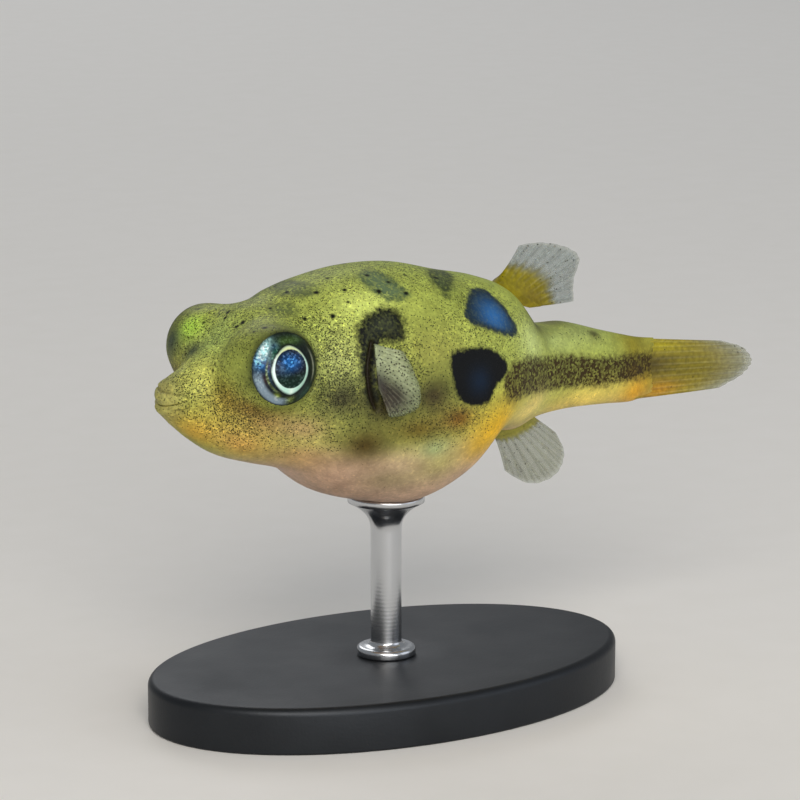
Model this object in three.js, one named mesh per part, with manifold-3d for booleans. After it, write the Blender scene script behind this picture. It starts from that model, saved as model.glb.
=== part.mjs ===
// Dwarf freshwater pufferfish: a life-size still model, swimming level, on a plain display stand.
// Millimetres, +Z up. The head points to -X, the fish's left side to -Y.
// The origin is the centre of the underside of the stand's base.

import * as THREE from 'three';
import { mergeVertices } from 'three/addons/utils/BufferGeometryUtils.js';
import Module from 'manifold-3d';

const wasm = await Module();
wasm.setup();

// Driving dimensions. Along the fish they are measured from the front of the mouth,
// and up and down from the level of the mouth.

const gap = 0.1;                      // clear space between neighbouring pieces
const sectionPower = 2.2;             // 2 is an ellipse, more is squarer
const mouthSetback = 0.35;            // how far the mouth's line curves back per square millimetre
const mouthSetbackEnd = 2.4;          // where that curve has died out along the snout

// One row for each place along the body: distance from the mouth, height of the back,
// height of the underside, half the width, and height of the widest line.
const bodySections = [
  { place: 'mouth', at: 0.07, back: 0.1, under: -0.5, half: 0.6, widest: -0.2 },
  { place: 'lip rims', at: 0.25, back: 0.38, under: -0.74, half: 0.9, widest: -0.15 },
  { place: 'lip roots', at: 0.7, back: 0.68, under: -1.25, half: 1.0, widest: -0.3 },
  { place: 'snout', at: 1.4, back: 1.05, under: -1.86, half: 1.36, widest: -0.4 },
  { place: 'nostrils', at: 2.4, back: 1.83, under: -2.51, half: 2.15, widest: -0.15 },
  { place: 'eyes', at: 3.6, back: 2.89, under: -2.92, half: 2.6, widest: -0.3 },
  { place: 'chin', at: 4.7, back: 3.23, under: -3.22, half: 3.05, widest: -0.4 },
  { place: 'throat', at: 5.4, back: 3.52, under: -3.54, half: 3.32, widest: -0.45 },
  { place: 'gill opening', at: 6.6, back: 3.81, under: -4.41, half: 3.7, widest: -0.5 },
  { place: 'shoulder', at: 8.4, back: 4.07, under: -4.97, half: 3.98, widest: -0.6 },
  { place: 'full belly', at: 10.4, back: 4.01, under: -5.25, half: 4.05, widest: -0.7 },
  { place: 'rear of belly', at: 12.4, back: 3.52, under: -4.5, half: 3.78, widest: -0.65 },
  { place: 'vent', at: 14.0, back: 3.15, under: -3.03, half: 3.2, widest: -0.5 },
  { place: 'front of the fins', at: 15.3, back: 2.53, under: -3.06, half: 2.45, widest: -0.5 },
  { place: 'rear of the fins', at: 16.6, back: 1.08, under: -2.73, half: 1.7, widest: -0.6 },
  { place: 'tail stalk', at: 18.2, back: 0.89, under: -2.6, half: 1.2, widest: -0.8 },
  { place: 'end of the stalk', at: 20.0, back: 0.36, under: -2.64, half: 0.88, widest: -1.1 },
  { place: 'root of the tail fin', at: 21.6, back: -0.05, under: -2.76, half: 0.62, widest: -1.35 },
];
const headRows = 3;                   // rows of faces from one place to the next, in the head
const trunkRows = 2;                  // and behind it
const columnsAround = 36;

const lipLength = 0.55;               // the lips end this far behind the mouth's front
const mouthLevel = -0.27;
const headEnd = 7.9;                  // just behind the gill openings and the pectoral fins' roots
const trunkEnd = 17.2;                // behind the dorsal and anal fins
const bellyTop = -3.2;                // the loose skin that fills when the fish puffs up

const eye = {
  at: 3.58, side: 2.19, level: 1.1,   // centre of the orbit
  radius: 1.62,                       // from there to the front of the eye
  tilt: 6,                            // it looks up by this many degrees
  opening: 1.37,                      // radius of the round opening in the skin
  frontDepth: 0.58,                   // of the clear front, which is flatter than a ball
  skin: 0.08,                         // skin over the ball around the opening
  liftedFrom: 1.1,                    // skin is pushed out from this far inside the centre
  flattened: 1.07,                    // the orbit is this much lower than it is long
  blend: 1.1,                         // how softly the orbit runs into the cheek
};

const nostril = { at: 1.88, side: 1.12, level: 1.0, radius: 0.24 };   // low round swellings
const gillOpening = { at: 6.85, side: 3.72, level: 0.75, height: 1.9, depth: 0.7, width: 0.2 };

// A fin is a root line and rays. Each ray has an angle up from straight back, in degrees,
// and a length. The fin leans out from the body's side by `lean` degrees, and its rays
// bow to one side by `sway` at their tips. The fleshy root thins out to the clear fin.
const finThickness = 0.5;
const finRootThickness = 0.85;
const finRootShare = 0.4;             // of the ray's length
const finRootDepth = 0.5;             // the roots start this far inside the body, then are cut to it
const dorsalFin = {
  root: [[15.08, 2.9], [17.0, 1.62]],
  rays: [[40, 1.75], [33, 2.55], [27, 3.05], [21, 3.15], [12, 2.5], [-2, 2.0]],
  sway: 0.35,
};
const analFin = {
  root: [[14.9, -3.15], [16.85, -2.8]],
  rays: [[-64, 2.0], [-57, 3.0], [-49, 3.25], [-41, 3.1], [-36, 2.65], [-34, 1.6]],
  sway: 0.3,
};
const caudalFin = {
  root: [[21.6, -0.15], [21.6, -2.66]],
  rays: [[-8, 4.65], [-5, 5.6], [-4.3, 6.0], [-3.3, 5.95], [-2.7, 5.5], [-1, 4.5]],
  sway: 0.15,
  rootDepth: -gap,                    // it stands on the flat end of the stalk
};
const pectoralFin = {
  root: [[7.45, 1.75], [7.3, 0.0]],
  rays: [[-14, 0.95], [-24, 1.4], [-33, 1.85], [-41, 2.05], [-52, 1.8], [-72, 1.3]],
  sway: 0.15,
  lean: 22,
};
const finColumns = 12;
const finRows = 5;

const stand = {
  at: 10.0,                           // the rod stands this far behind the mouth, under the middle
  baseLength: 20,
  baseWidth: 12.5,
  baseHeight: 1.8,
  bevel: 0.3,
  rodRadius: 0.6,
  rodLength: 6.2,                     // from the base's top to the belly
  spigotDepth: 1.1,                   // of the rod in the base
  footRadius: 1.15,
  footHeight: 0.45,
  cupRadius: 1.5,
  cupHeight: 1.3,
};
const lowestUnder = Math.min(...bodySections.map((section) => section.under));
const mouthHeight = stand.baseHeight + stand.rodLength - lowestUnder;

// Colours, as the skin and the stand show them.
const skinYellowGreen = 0x8f9a45;
const bellyPink = 0xc2a183;
const stalkGreen = 0x9c9a5c;
const lipOlive = 0x9a9458;
const eyeBlue = 0x163a50;
const finYellow = 0xa89a3c;
const finClear = 0x8c9484;
const steelGrey = 0xb9bcc0;
const charcoal = 0x2b2d30;

// ---------------------------------------------------------------- helpers

const degrees = Math.PI / 180;

function clamp01(value) {
  return Math.min(1, Math.max(0, value));
}

// A smooth curve through evenly counted values; its ends run on in a straight line.
function through(values, place) {
  const last = values.length - 1;
  const index = Math.min(last - 1, Math.floor(place));
  const before = index > 0 ? values[index - 1] : 2 * values[0] - values[1];
  const after = index < last - 1 ? values[index + 2] : 2 * values[last] - values[last - 1];
  const [from, to] = [values[index], values[index + 1]];
  const f = place - index;
  const slope = (to - before) * f;
  const bend = (2 * before - 5 * from + 4 * to - after) * f * f;
  const twist = (3 * from - before - 3 * to + after) * f * f * f;
  return 0.5 * (2 * from + slope + bend + twist);
}

// The larger of two numbers, with a soft step between them.
function softMax(first, second, softness) {
  const share = clamp01(0.5 + (0.5 * (first - second)) / softness);
  return second * (1 - share) + first * share + softness * share * (1 - share);
}

function solidOf(geometry) {
  const bare = geometry.clone();
  bare.deleteAttribute('normal');
  bare.deleteAttribute('uv');
  const merged = mergeVertices(bare, 1e-4);
  return new wasm.Manifold(new wasm.Mesh({
    numProp: 3,
    vertProperties: Float32Array.from(merged.attributes.position.array),
    triVerts: Uint32Array.from(merged.index.array),
  }));
}

function geometryOf(solid) {
  const mesh = solid.getMesh();
  const geometry = new THREE.BufferGeometry();
  geometry.setAttribute('position', new THREE.BufferAttribute(mesh.vertProperties, mesh.numProp));
  geometry.setIndex(new THREE.BufferAttribute(mesh.triVerts, 1));
  geometry.computeVertexNormals();
  return geometry;
}

function block(from, to) {
  const size = to.map((value, axis) => value - from[axis]);
  const geometry = new THREE.BoxGeometry(...size);
  geometry.translate(...to.map((value, axis) => (value + from[axis]) / 2));
  return solidOf(geometry);
}

// ---------------------------------------------------------------- body

// Skin near an eye is carried out to the round orbit over the ball.
function overOrbits(point) {
  for (const side of [-1, 1]) {
    const deep = new THREE.Vector3(eye.at, side * (eye.side - eye.liftedFrom), eye.level);
    const out = point.clone().sub(deep);
    const distance = Math.max(Math.hypot(out.x, out.y, out.z * eye.flattened), 1e-3);
    const outward = (side * eye.liftedFrom * out.y) / distance;
    const orbitRadius = eye.radius + eye.skin;
    const orbit = outward + Math.sqrt(orbitRadius ** 2 - eye.liftedFrom ** 2 + outward ** 2);
    const reach = softMax(distance, orbit, eye.blend);
    const share = clamp01((point.y * side - 0.2) / 1.2);
    point.addScaledVector(out, ((reach - distance) / distance) * share);
  }
  return point;
}

function bodyPoint(place, angle) {
  const value = (key) => through(bodySections.map((section) => section[key]), place);
  const [across, up] = [Math.cos(angle), Math.sin(angle)];
  const rounded = (part) => Math.sign(part) * Math.abs(part) ** (2 / sectionPower);
  const widest = value('widest');
  const y = value('half') * rounded(across);
  const reach = up > 0 ? value('back') - widest : widest - value('under');
  const setback = mouthSetback * y * y * clamp01(1 - value('at') / mouthSetbackEnd);
  return overOrbits(new THREE.Vector3(value('at') + setback, y, widest + reach * rounded(up)));
}

function bodyGeometry(grown = 0) {
  const places = bodySections.slice(1).flatMap((section, index) => {
    const rows = section.at < headEnd ? headRows : trunkRows;
    return Array.from({ length: rows }, (_, row) => index + row / rows);
  });
  const rows = places.length;
  const positions = [];
  const triangles = [];
  for (const place of [...places, bodySections.length - 1]) {
    for (let column = 0; column < columnsAround; column += 1) {
      const point = bodyPoint(place, (2 * Math.PI * column) / columnsAround);
      positions.push(point.x, point.y, point.z);
    }
  }
  const front = positions.length / 3;
  positions.push(bodySections[0].at, 0, 0);
  const last = bodySections.at(-1);
  positions.push(last.at, 0, (last.back + last.under) / 2);
  for (let column = 0; column < columnsAround; column += 1) {
    const next = (column + 1) % columnsAround;
    for (let row = 0; row < rows; row += 1) {
      const [here, there] = [row * columnsAround, (row + 1) * columnsAround];
      triangles.push(here + column, there + next, there + column);
      triangles.push(here + column, here + next, there + next);
    }
    triangles.push(front, next, column);
    triangles.push(front + 1, rows * columnsAround + column, rows * columnsAround + next);
  }
  const geometry = new THREE.BufferGeometry();
  geometry.setAttribute('position', new THREE.Float32BufferAttribute(positions, 3));
  geometry.setIndex(triangles);
  geometry.computeVertexNormals();
  const { position, normal } = geometry.attributes;
  for (let index = 0; index < position.count; index += 1) {
    position.setXYZ(
      index,
      position.getX(index) + grown * normal.getX(index),
      position.getY(index) + grown * normal.getY(index),
      position.getZ(index) + grown * normal.getZ(index),
    );
  }
  return geometry;
}

// A round solid with three half widths of its own, on one side of the head.
function swelling(place, side, halfLength, halfWidth, halfHeight) {
  const geometry = new THREE.SphereGeometry(1, 12, 8);
  geometry.scale(halfLength, halfWidth, halfHeight);
  geometry.translate(place.at, side * place.side, place.level);
  return solidOf(geometry);
}

function headSolid(whole) {
  const { radius } = nostril;
  const { width, depth, height } = gillOpening;
  return [-1, 1].reduce((head, side) => head
    .add(swelling(nostril, side, radius, radius, radius))
    .subtract(swelling(gillOpening, side, width / 2, depth, height / 2))
    .subtract(eyePlug(side, gap, 3)), whole);
}

// ---------------------------------------------------------------- eyes

// A round plug: a shallow clear front before a half ball that fills the head's socket.
function eyeProfile(grown, opensTo) {
  const rim = eye.radius - eye.frontDepth;
  const wide = eye.opening + grown;
  const points = [];
  for (let step = 0; step <= 4; step += 1) {
    const angle = -Math.PI / 2 + (step / 4) * (Math.PI / 2);
    points.push(new THREE.Vector2(wide * Math.cos(angle), rim + wide * Math.sin(angle)));
  }
  if (opensTo) {
    points.push(new THREE.Vector2(wide, opensTo), new THREE.Vector2(0, opensTo));
  } else {
    const frontRadius = (eye.opening ** 2 + eye.frontDepth ** 2) / (2 * eye.frontDepth);
    const rimAngle = Math.asin(eye.opening / frontRadius);
    for (let step = 1; step <= 5; step += 1) {
      const angle = rimAngle * (1 - step / 5);
      const behindFront = frontRadius * (1 - Math.cos(angle));
      points.push(new THREE.Vector2(frontRadius * Math.sin(angle), eye.radius - behindFront));
    }
  }
  points[0].x = 0;
  points.at(-1).x = 0;
  return points;
}

function eyePlug(side, grown, opensTo) {
  const geometry = new THREE.LatheGeometry(eyeProfile(grown, opensTo), 24);
  geometry.rotateZ(side > 0 ? 0 : Math.PI);
  geometry.rotateX(side * eye.tilt * degrees);
  geometry.translate(eye.at, side * eye.side, eye.level);
  return solidOf(geometry);
}

// ---------------------------------------------------------------- fins

// `side` is -1 or 1 for a paired fin and 0 for one in the middle plane.
function finSolid(fin, side = 0) {
  const lean = side * (fin.lean ?? 0) * degrees;
  const straightBack = new THREE.Vector3(Math.cos(lean), Math.sin(lean), 0);
  const rise = new THREE.Vector3(0, 0, 1);
  const across = new THREE.Vector3(-Math.sin(lean), Math.cos(lean), 0).multiplyScalar(side || 1);
  const [front, rear] = fin.root;
  const rootDepth = fin.rootDepth ?? finRootDepth;
  const offset = side ? side * flankWidth(fin) : 0;
  const pointAt = (u, v) => {
    const place = u * (fin.rays.length - 1);
    const angle = through(fin.rays.map((ray) => ray[0]), place) * degrees;
    const length = through(fin.rays.map((ray) => ray[1]), place);
    const along = -rootDepth + v * (length + rootDepth);
    const bow = fin.sway * (along / length) ** 2;
    return new THREE.Vector3(
      THREE.MathUtils.lerp(front[0], rear[0], u),
      offset,
      THREE.MathUtils.lerp(front[1], rear[1], u),
    )
      .addScaledVector(straightBack, along * Math.cos(angle))
      .addScaledVector(rise, along * Math.sin(angle))
      .addScaledVector(across, bow);
  };
  const positions = [];
  for (const face of [-1, 1]) {
    for (let row = 0; row <= finRows; row += 1) {
      for (let column = 0; column <= finColumns; column += 1) {
        const point = pointAt(column / finColumns, row / finRows);
        const root = 1 - clamp01(row / finRows / finRootShare);
        const thickness = THREE.MathUtils.lerp(finThickness, finRootThickness, root * root);
        point.addScaledVector(across, (face * thickness) / 2);
        positions.push(point.x, point.y, point.z);
      }
    }
  }
  const geometry = new THREE.BufferGeometry();
  geometry.setAttribute('position', new THREE.Float32BufferAttribute(positions, 3));
  geometry.setIndex(slabTriangles(finRows, finColumns));
  const solid = solidOf(geometry);
  return solid.volume() > 0 ? solid : solidOf(turnedInsideOut(geometry));
}

// Faces of a closed slab: two grids of (rows + 1) by (columns + 1) points and the walls round them.
function slabTriangles(rows, columns) {
  const triangles = [];
  const faceSize = (rows + 1) * (columns + 1);
  const at = (row, column, face) => face * faceSize + row * (columns + 1) + column;
  const quad = (a, b, c, d) => triangles.push(a, b, c, a, c, d);
  for (let row = 0; row < rows; row += 1) {
    for (let column = 0; column < columns; column += 1) {
      const corners = [[row, column], [row, column + 1], [row + 1, column + 1], [row + 1, column]];
      quad(...corners.map(([r, c]) => at(r, c, 1)));
      quad(...corners.reverse().map(([r, c]) => at(r, c, 0)));
    }
    quad(at(row, 0, 0), at(row, 0, 1), at(row + 1, 0, 1), at(row + 1, 0, 0));
    quad(at(row, columns, 1), at(row, columns, 0), at(row + 1, columns, 0), at(row + 1, columns, 1));
  }
  for (let column = 0; column < columns; column += 1) {
    quad(at(0, column, 1), at(0, column, 0), at(0, column + 1, 0), at(0, column + 1, 1));
    quad(at(rows, column, 0), at(rows, column, 1), at(rows, column + 1, 1), at(rows, column + 1, 0));
  }
  return triangles;
}

function turnedInsideOut(geometry) {
  const index = Array.from(geometry.index.array);
  for (let corner = 0; corner < index.length; corner += 3) {
    [index[corner], index[corner + 1]] = [index[corner + 1], index[corner]];
  }
  geometry.setIndex(index);
  return geometry;
}

// Half the body's width at a paired fin's root, so that the root starts on the flank.
function flankWidth(fin) {
  const at = (fin.root[0][0] + fin.root[1][0]) / 2;
  const level = (fin.root[0][1] + fin.root[1][1]) / 2;
  let place = 0;
  while (through(bodySections.map((section) => section.at), place) < at) place += 0.02;
  const value = (key) => through(bodySections.map((section) => section[key]), place);
  const height = (level - value('widest')) / (value('back') - value('widest'));
  return value('half') * (1 - height ** sectionPower) ** (1 / sectionPower);
}

// ---------------------------------------------------------------- stand

function standBase() {
  const outline = new THREE.Shape();
  const [halfLength, halfWidth] = [stand.baseLength / 2, stand.baseWidth / 2];
  outline.absellipse(0, 0, halfLength - stand.bevel, halfWidth - stand.bevel, 0, 2 * Math.PI);
  const geometry = new THREE.ExtrudeGeometry(outline, {
    depth: stand.baseHeight - 2 * stand.bevel,
    bevelThickness: stand.bevel,
    bevelSize: stand.bevel,
    bevelSegments: 2,
    curveSegments: 24,
  });
  geometry.translate(0, 0, stand.bevel);
  const boreDepth = stand.spigotDepth + gap;
  const bore = new THREE.CylinderGeometry(stand.rodRadius + gap, stand.rodRadius + gap, 2 * boreDepth, 20);
  bore.rotateX(Math.PI / 2);
  bore.translate(0, 0, stand.baseHeight);
  return solidOf(geometry).subtract(solidOf(bore));
}

// The rod has a foot on the base and opens into a shallow cup that cradles the belly.
function standRod() {
  const foot = stand.baseHeight + gap;
  const cupTop = stand.baseHeight + stand.rodLength + 0.5;
  const cupFoot = cupTop - 0.5 - stand.cupHeight;
  const profile = [
    [0, stand.baseHeight - stand.spigotDepth],
    [stand.rodRadius, stand.baseHeight - stand.spigotDepth],
    [stand.rodRadius, foot],
    [stand.footRadius, foot],
    [stand.footRadius, foot + stand.footHeight * 0.6],
    [stand.footRadius * 0.85, foot + stand.footHeight],
    [stand.rodRadius, foot + stand.footHeight],
    [stand.rodRadius, cupFoot],
    [stand.rodRadius * 1.35, cupFoot + stand.cupHeight * 0.45],
    [stand.cupRadius * 0.85, cupFoot + stand.cupHeight * 0.8],
    [stand.cupRadius, cupFoot + stand.cupHeight],
    [stand.cupRadius, cupTop],
    [0, cupTop],
  ];
  const geometry = new THREE.LatheGeometry(profile.map(([r, z]) => new THREE.Vector2(r, z)), 20);
  geometry.rotateX(Math.PI / 2);
  return solidOf(geometry);
}

// ---------------------------------------------------------------- pieces

const far = 40;
const body = solidOf(bodyGeometry());
const bodyWithGap = solidOf(bodyGeometry(gap));

// A stretch of the body between two distances from the mouth and two levels.
function stretch(from, to, low = -far, high = far) {
  return body.intersect(block([from, -far, low], [to, far, high]));
}

const half = gap / 2;
const throatStart = bodySections.find((section) => section.place === 'chin').at;
const underBelly = block([throatStart, -far, -far], [trunkEnd, far, bellyTop + half]);
const belly = stretch(throatStart + gap, trunkEnd, -far, bellyTop - half);

const group = new THREE.Group();
group.name = 'pufferfish';
const fish = new THREE.Group();
fish.position.set(-stand.at, 0, mouthHeight);
group.add(fish);

function add(parent, name, solid, color, roughness, metalness = 0) {
  const material = new THREE.MeshStandardMaterial({ color, roughness, metalness });
  const mesh = new THREE.Mesh(geometryOf(solid), material);
  mesh.name = name;
  parent.add(mesh);
}

const head = headSolid(stretch(lipLength + half, headEnd - half).subtract(underBelly));
const trunk = stretch(headEnd + half, trunkEnd - half).subtract(underBelly);
add(fish, 'upper_lip', stretch(-1, lipLength - half, mouthLevel + half), lipOlive, 0.45);
add(fish, 'lower_lip', stretch(-1, lipLength - half, -far, mouthLevel - half), lipOlive, 0.45);
add(fish, 'head', head, skinYellowGreen, 0.45);
add(fish, 'trunk', trunk, skinYellowGreen, 0.45);
add(fish, 'belly', belly, bellyPink, 0.45);
add(fish, 'tail_stalk', stretch(trunkEnd + half, far), stalkGreen, 0.45);
add(fish, 'eye_left', eyePlug(-1, 0), eyeBlue, 0.08);
add(fish, 'eye_right', eyePlug(1, 0), eyeBlue, 0.08);
add(fish, 'dorsal_fin', finSolid(dorsalFin).subtract(bodyWithGap), finYellow, 0.35);
add(fish, 'anal_fin', finSolid(analFin).subtract(bodyWithGap), finClear, 0.35);
add(fish, 'caudal_fin', finSolid(caudalFin), finYellow, 0.35);
add(fish, 'pectoral_fin_left', finSolid(pectoralFin, -1).subtract(bodyWithGap), finClear, 0.35);
add(fish, 'pectoral_fin_right', finSolid(pectoralFin, 1).subtract(bodyWithGap), finClear, 0.35);

const fishOverStand = bodyWithGap.translate(-stand.at, 0, mouthHeight);
add(group, 'stand_base', standBase(), charcoal, 0.4, 0.6);
add(group, 'stand_rod', standRod().subtract(fishOverStand), steelGrey, 0.25, 1);

export default group;
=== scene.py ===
import bpy
import math
import numpy as np
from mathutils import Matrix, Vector


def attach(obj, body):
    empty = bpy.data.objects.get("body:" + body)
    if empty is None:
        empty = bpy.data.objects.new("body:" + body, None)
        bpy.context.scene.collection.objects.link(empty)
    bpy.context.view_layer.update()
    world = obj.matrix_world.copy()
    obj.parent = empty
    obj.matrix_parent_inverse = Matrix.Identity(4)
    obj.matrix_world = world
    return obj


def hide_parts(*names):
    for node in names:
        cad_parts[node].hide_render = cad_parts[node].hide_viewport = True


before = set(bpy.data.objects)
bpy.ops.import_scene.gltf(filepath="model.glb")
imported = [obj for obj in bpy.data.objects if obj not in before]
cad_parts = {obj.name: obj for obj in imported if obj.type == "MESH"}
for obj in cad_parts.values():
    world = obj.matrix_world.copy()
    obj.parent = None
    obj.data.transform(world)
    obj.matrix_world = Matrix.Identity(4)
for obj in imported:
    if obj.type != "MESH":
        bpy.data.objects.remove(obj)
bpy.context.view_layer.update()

# The fish is worked out in millimetres: distance behind the mouth, distance to its right side,
# and height over the mouth. It is put in place here, over the stand.
mm = 0.001
standAt = 10.0
mouthHeight = 13.25
toStand = np.array([-standAt, 0.0, mouthHeight])


# small helpers

def linear(hexColour):
    text = hexColour.lstrip("#")
    parts = [int(text[i:i + 2], 16) / 255 for i in (0, 2, 4)]
    return tuple(p / 12.92 if p <= 0.04045 else ((p + 0.055) / 1.055) ** 2.4 for p in parts) + (1.0,)


def smoothStep(low, high, value):
    t = np.clip((value - low) / (high - low), 0, 1)
    return t * t * (3 - 2 * t)


def softMax(first, second, softness):
    share = np.clip(0.5 + 0.5 * (first - second) / softness, 0, 1)
    return second * (1 - share) + first * share + softness * share * (1 - share)


def through(values, place):
    # a smooth curve through evenly counted values, running on straight at its ends
    values = np.asarray(values, float)
    ends = np.concatenate([[2 * values[0] - values[1]], values, [2 * values[-1] - values[-2]]])
    index = np.clip(np.floor(place).astype(int), 0, len(values) - 2)
    f = place - index
    before, start, end, after = (ends[index + k] for k in range(4))
    bend = (2 * before - 5 * start + 4 * end - after) * f * f
    twist = (3 * start - before - 3 * end + after) * f ** 3
    return 0.5 * (2 * start + (end - before) * f + bend + twist)


def smoothRoute(corners, places):
    # the smooth curve through named corners, at the counted places
    return np.stack([through(np.array(corners)[:, k], places) for k in range(len(corners[0]))], -1)


def mixedIn(colour, hexColour, share):
    # one colour laid over others, each point by its own share
    return colour + (np.array(linear(hexColour)) - colour) * share[..., None]


def addNode(tree, kind, inputs=None, **settings):
    # a value that is a node or one of its sockets is linked, any other is set
    made = tree.nodes.new("ShaderNode" + kind)
    for name, value in settings.items():
        setattr(made, name, value)
    for name, value in (inputs or {}).items():
        if isinstance(value, bpy.types.Node):
            value = next(output for output in value.outputs if output.enabled)
        if isinstance(value, bpy.types.NodeSocket):
            tree.links.new(value, made.inputs[name])
        else:
            made.inputs[name].default_value = value
    return made


# settings that many nodes share
asColour = {"data_type": "RGBA"}
multiplied = {"data_type": "RGBA", "blend_type": "MULTIPLY"}
smoothly = {"interpolation_type": "SMOOTHSTEP"}
times = {"operation": "MULTIPLY"}
scaledPlus = {"operation": "MULTIPLY_ADD"}


def newMaterial(name):
    material = bpy.data.materials.new(name)
    material.use_nodes = True
    tree = material.node_tree
    tree.nodes.clear()
    return material, tree, addNode(tree, "TexCoord").outputs["Object"]


def gridMesh(name, points, marks=None, sheet=False):
    # points is rows x columns x 3, in millimetres on the fish, closed round each row; marks holds values for
    # each point, one number or one colour. A sheet's rows run out on one face and back on the other.
    rows, columns = points.shape[:2]
    row, column = np.meshgrid(np.arange(rows - 1), np.arange(columns), indexing="ij")
    steps = [(0, 0), (0, 1), (1, 1), (1, 0)]
    faces = np.stack([(row + r) * columns + (column + c) % columns for r, c in steps], -1).reshape(-1, 4)
    corners = np.stack([np.stack([(column + c) / columns, (row + r) / (rows - 1)], -1) for r, c in steps], -2)
    corners = (0.01 + 0.98 * corners).reshape(-1, 4, 2)
    everyPoint = points.reshape(-1, 3)
    a, b, c, d = (everyPoint[faces[:, k]] for k in range(4))
    insideOut = ((a * np.cross(b, c)).sum() + (a * np.cross(c, d)).sum()) < 0
    order = -1 if insideOut else 1
    faces = faces[:, ::order].tolist()
    uv = corners[:, ::order].reshape(-1, 2).tolist()
    middles = []
    for end in (0, rows - 1):
        outwards = 1 if (end == 0) == insideOut else -1
        if sheet:
            for column in range(columns // 2 - 1):
                ring = [column, column + 1, columns - 2 - column, columns - 1 - column]
                faces.append([end * columns + k for k in ring][::outwards])
                uv += [[0.004, 0.004], [0.006, 0.004], [0.006, 0.006], [0.004, 0.006]]
            continue
        middles.append(end * columns)
        for column in range(columns):
            pair = [end * columns + column, end * columns + (column + 1) % columns]
            faces.append([len(everyPoint)] + pair[::outwards])
            uv += [[0.004, 0.004], [0.006, 0.004], [0.004, 0.006]]
        everyPoint = np.concatenate([everyPoint, points[end].mean(0)[None]])
    mesh = bpy.data.meshes.new(name)
    mesh.from_pydata(((everyPoint + toStand) * mm).tolist(), [], faces)
    mesh.uv_layers.new(name="OFBake").data.foreach_set("uv", np.array(uv).ravel())
    mesh.polygons.foreach_set("use_smooth", [True] * len(faces))
    for markName, values in (marks or {}).items():
        perPoint = values.reshape(rows * columns, -1)
        perPoint = np.concatenate([perPoint, perPoint[middles]])
        isColour = perPoint.shape[1] == 4
        attribute = mesh.attributes.new(markName, "FLOAT_COLOR" if isColour else "FLOAT", "POINT")
        attribute.data.foreach_set("color" if isColour else "value", perPoint.astype(np.float32).ravel())
    mesh.update()
    made = bpy.data.objects.new(name, mesh)
    bpy.context.scene.collection.objects.link(made)
    return made


def dressed(piece, material, slotName, *replacedNodes):
    piece.data.materials.append(material)
    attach(piece, "root")
    if replacedNodes:
        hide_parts(*replacedNodes)


# camera: level with the fish's left cheek, from in front and a little above

view = {
    "azimuth": -32.0,      # degrees round from the fish's left side
    "elevation": 12.5,
    "distance": 150.0,     # mm
    "target": (10.78, 0.23, -1.46),
    "width": 30.89,        # mm across the view at the target
}


def makeCamera():
    turn, rise = math.radians(view["azimuth"]), math.radians(view["elevation"])
    back = Vector((math.sin(turn) * math.cos(rise), -math.cos(turn) * math.cos(rise), math.sin(rise)))
    data = bpy.data.cameras.new("camera")
    data.sensor_width = 36.0
    data.lens = data.sensor_width * view["distance"] / view["width"]
    data.clip_start = 0.005
    data.clip_end = 20.0
    camera = bpy.data.objects.new("camera", data)
    camera.location = (Vector(view["target"]) + Vector(toStand) + back * view["distance"]) * mm
    camera.rotation_euler = back.to_track_quat("Z", "Y").to_euler()
    bpy.context.scene.collection.objects.link(camera)
    bpy.context.scene.camera = camera


makeCamera()
print("camera set")


# body: the same places along the fish as its solids, with the lips drawn finer

body = {
    "sectionPower": 2.2,        # a section's squareness: 2 is an ellipse
    "rowSpacing": 0.038,        # mm along the head
    "rowSpacingBehind": 0.06,
    "headEnds": 6.6,
    "columns": 520,
    "mouthCurve": 0.26,         # how the mouth's line rises to its corners
}
# at, back, under, half width, height of the widest line, how the row bends back to its sides
lipSections = [
    (0.60, -0.265, -0.305, 0.9, -0.285, 0.5),    # inside the mouth
    (0.17, -0.275, -0.295, 0.98, -0.285, 0.5),   # the mouth's line
    (0.07, -0.12, -0.4, 1.0, -0.27, 0.52),       # rounds of the lips
    (0.05, 0.0, -0.48, 1.01, -0.2, 0.52),
    (0.11, 0.16, -0.6, 1.02, -0.17, 0.48),
    (0.22, 0.26, -0.7, 1.02, -0.17, 0.44),       # crease behind the lips
    (0.26, 0.38, -0.76, 1.03, -0.17, 0.4),
    (0.46, 0.55, -0.98, 1.03, -0.22, 0.33),
]
bodySections = [
    (0.7, 0.68, -1.25, 1.0, -0.3, 0.25),         # lip roots
    (1.4, 1.05, -1.86, 1.36, -0.4, 0.15),        # snout
    (2.4, 1.83, -2.51, 2.15, -0.15, 0.0),        # nostrils
    (3.6, 2.89, -2.92, 2.6, -0.3, 0.0),          # eyes
    (4.7, 3.23, -3.22, 3.05, -0.4, 0.0),         # chin
    (5.4, 3.52, -3.54, 3.32, -0.45, 0.0),        # throat
    (6.6, 3.81, -4.41, 3.7, -0.5, 0.0),          # gill opening
    (8.4, 4.07, -4.97, 3.98, -0.6, 0.0),         # shoulder
    (10.4, 4.01, -5.25, 4.05, -0.7, 0.0),        # full belly
    (12.4, 3.52, -4.5, 3.78, -0.65, 0.0),        # rear of the belly
    (14.0, 3.15, -3.03, 3.2, -0.5, 0.0),         # vent
    (15.3, 2.53, -3.06, 2.45, -0.5, 0.0),        # front of the fins
    (16.6, 1.08, -2.73, 1.7, -0.6, 0.0),         # rear of the fins
    (18.2, 0.89, -2.6, 1.2, -0.8, 0.0),          # tail stalk
    (20.0, 0.36, -2.64, 0.88, -1.1, 0.0),
    (21.3, 0.0, -2.72, 0.54, -1.35, 0.0),        # end of the stalk
    (21.9, -0.14, -2.66, 0.3, -1.38, 0.0),       # thinned onto the tail fin
    (22.6, -0.24, -2.58, 0.05, -1.4, 0.0),
]
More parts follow.
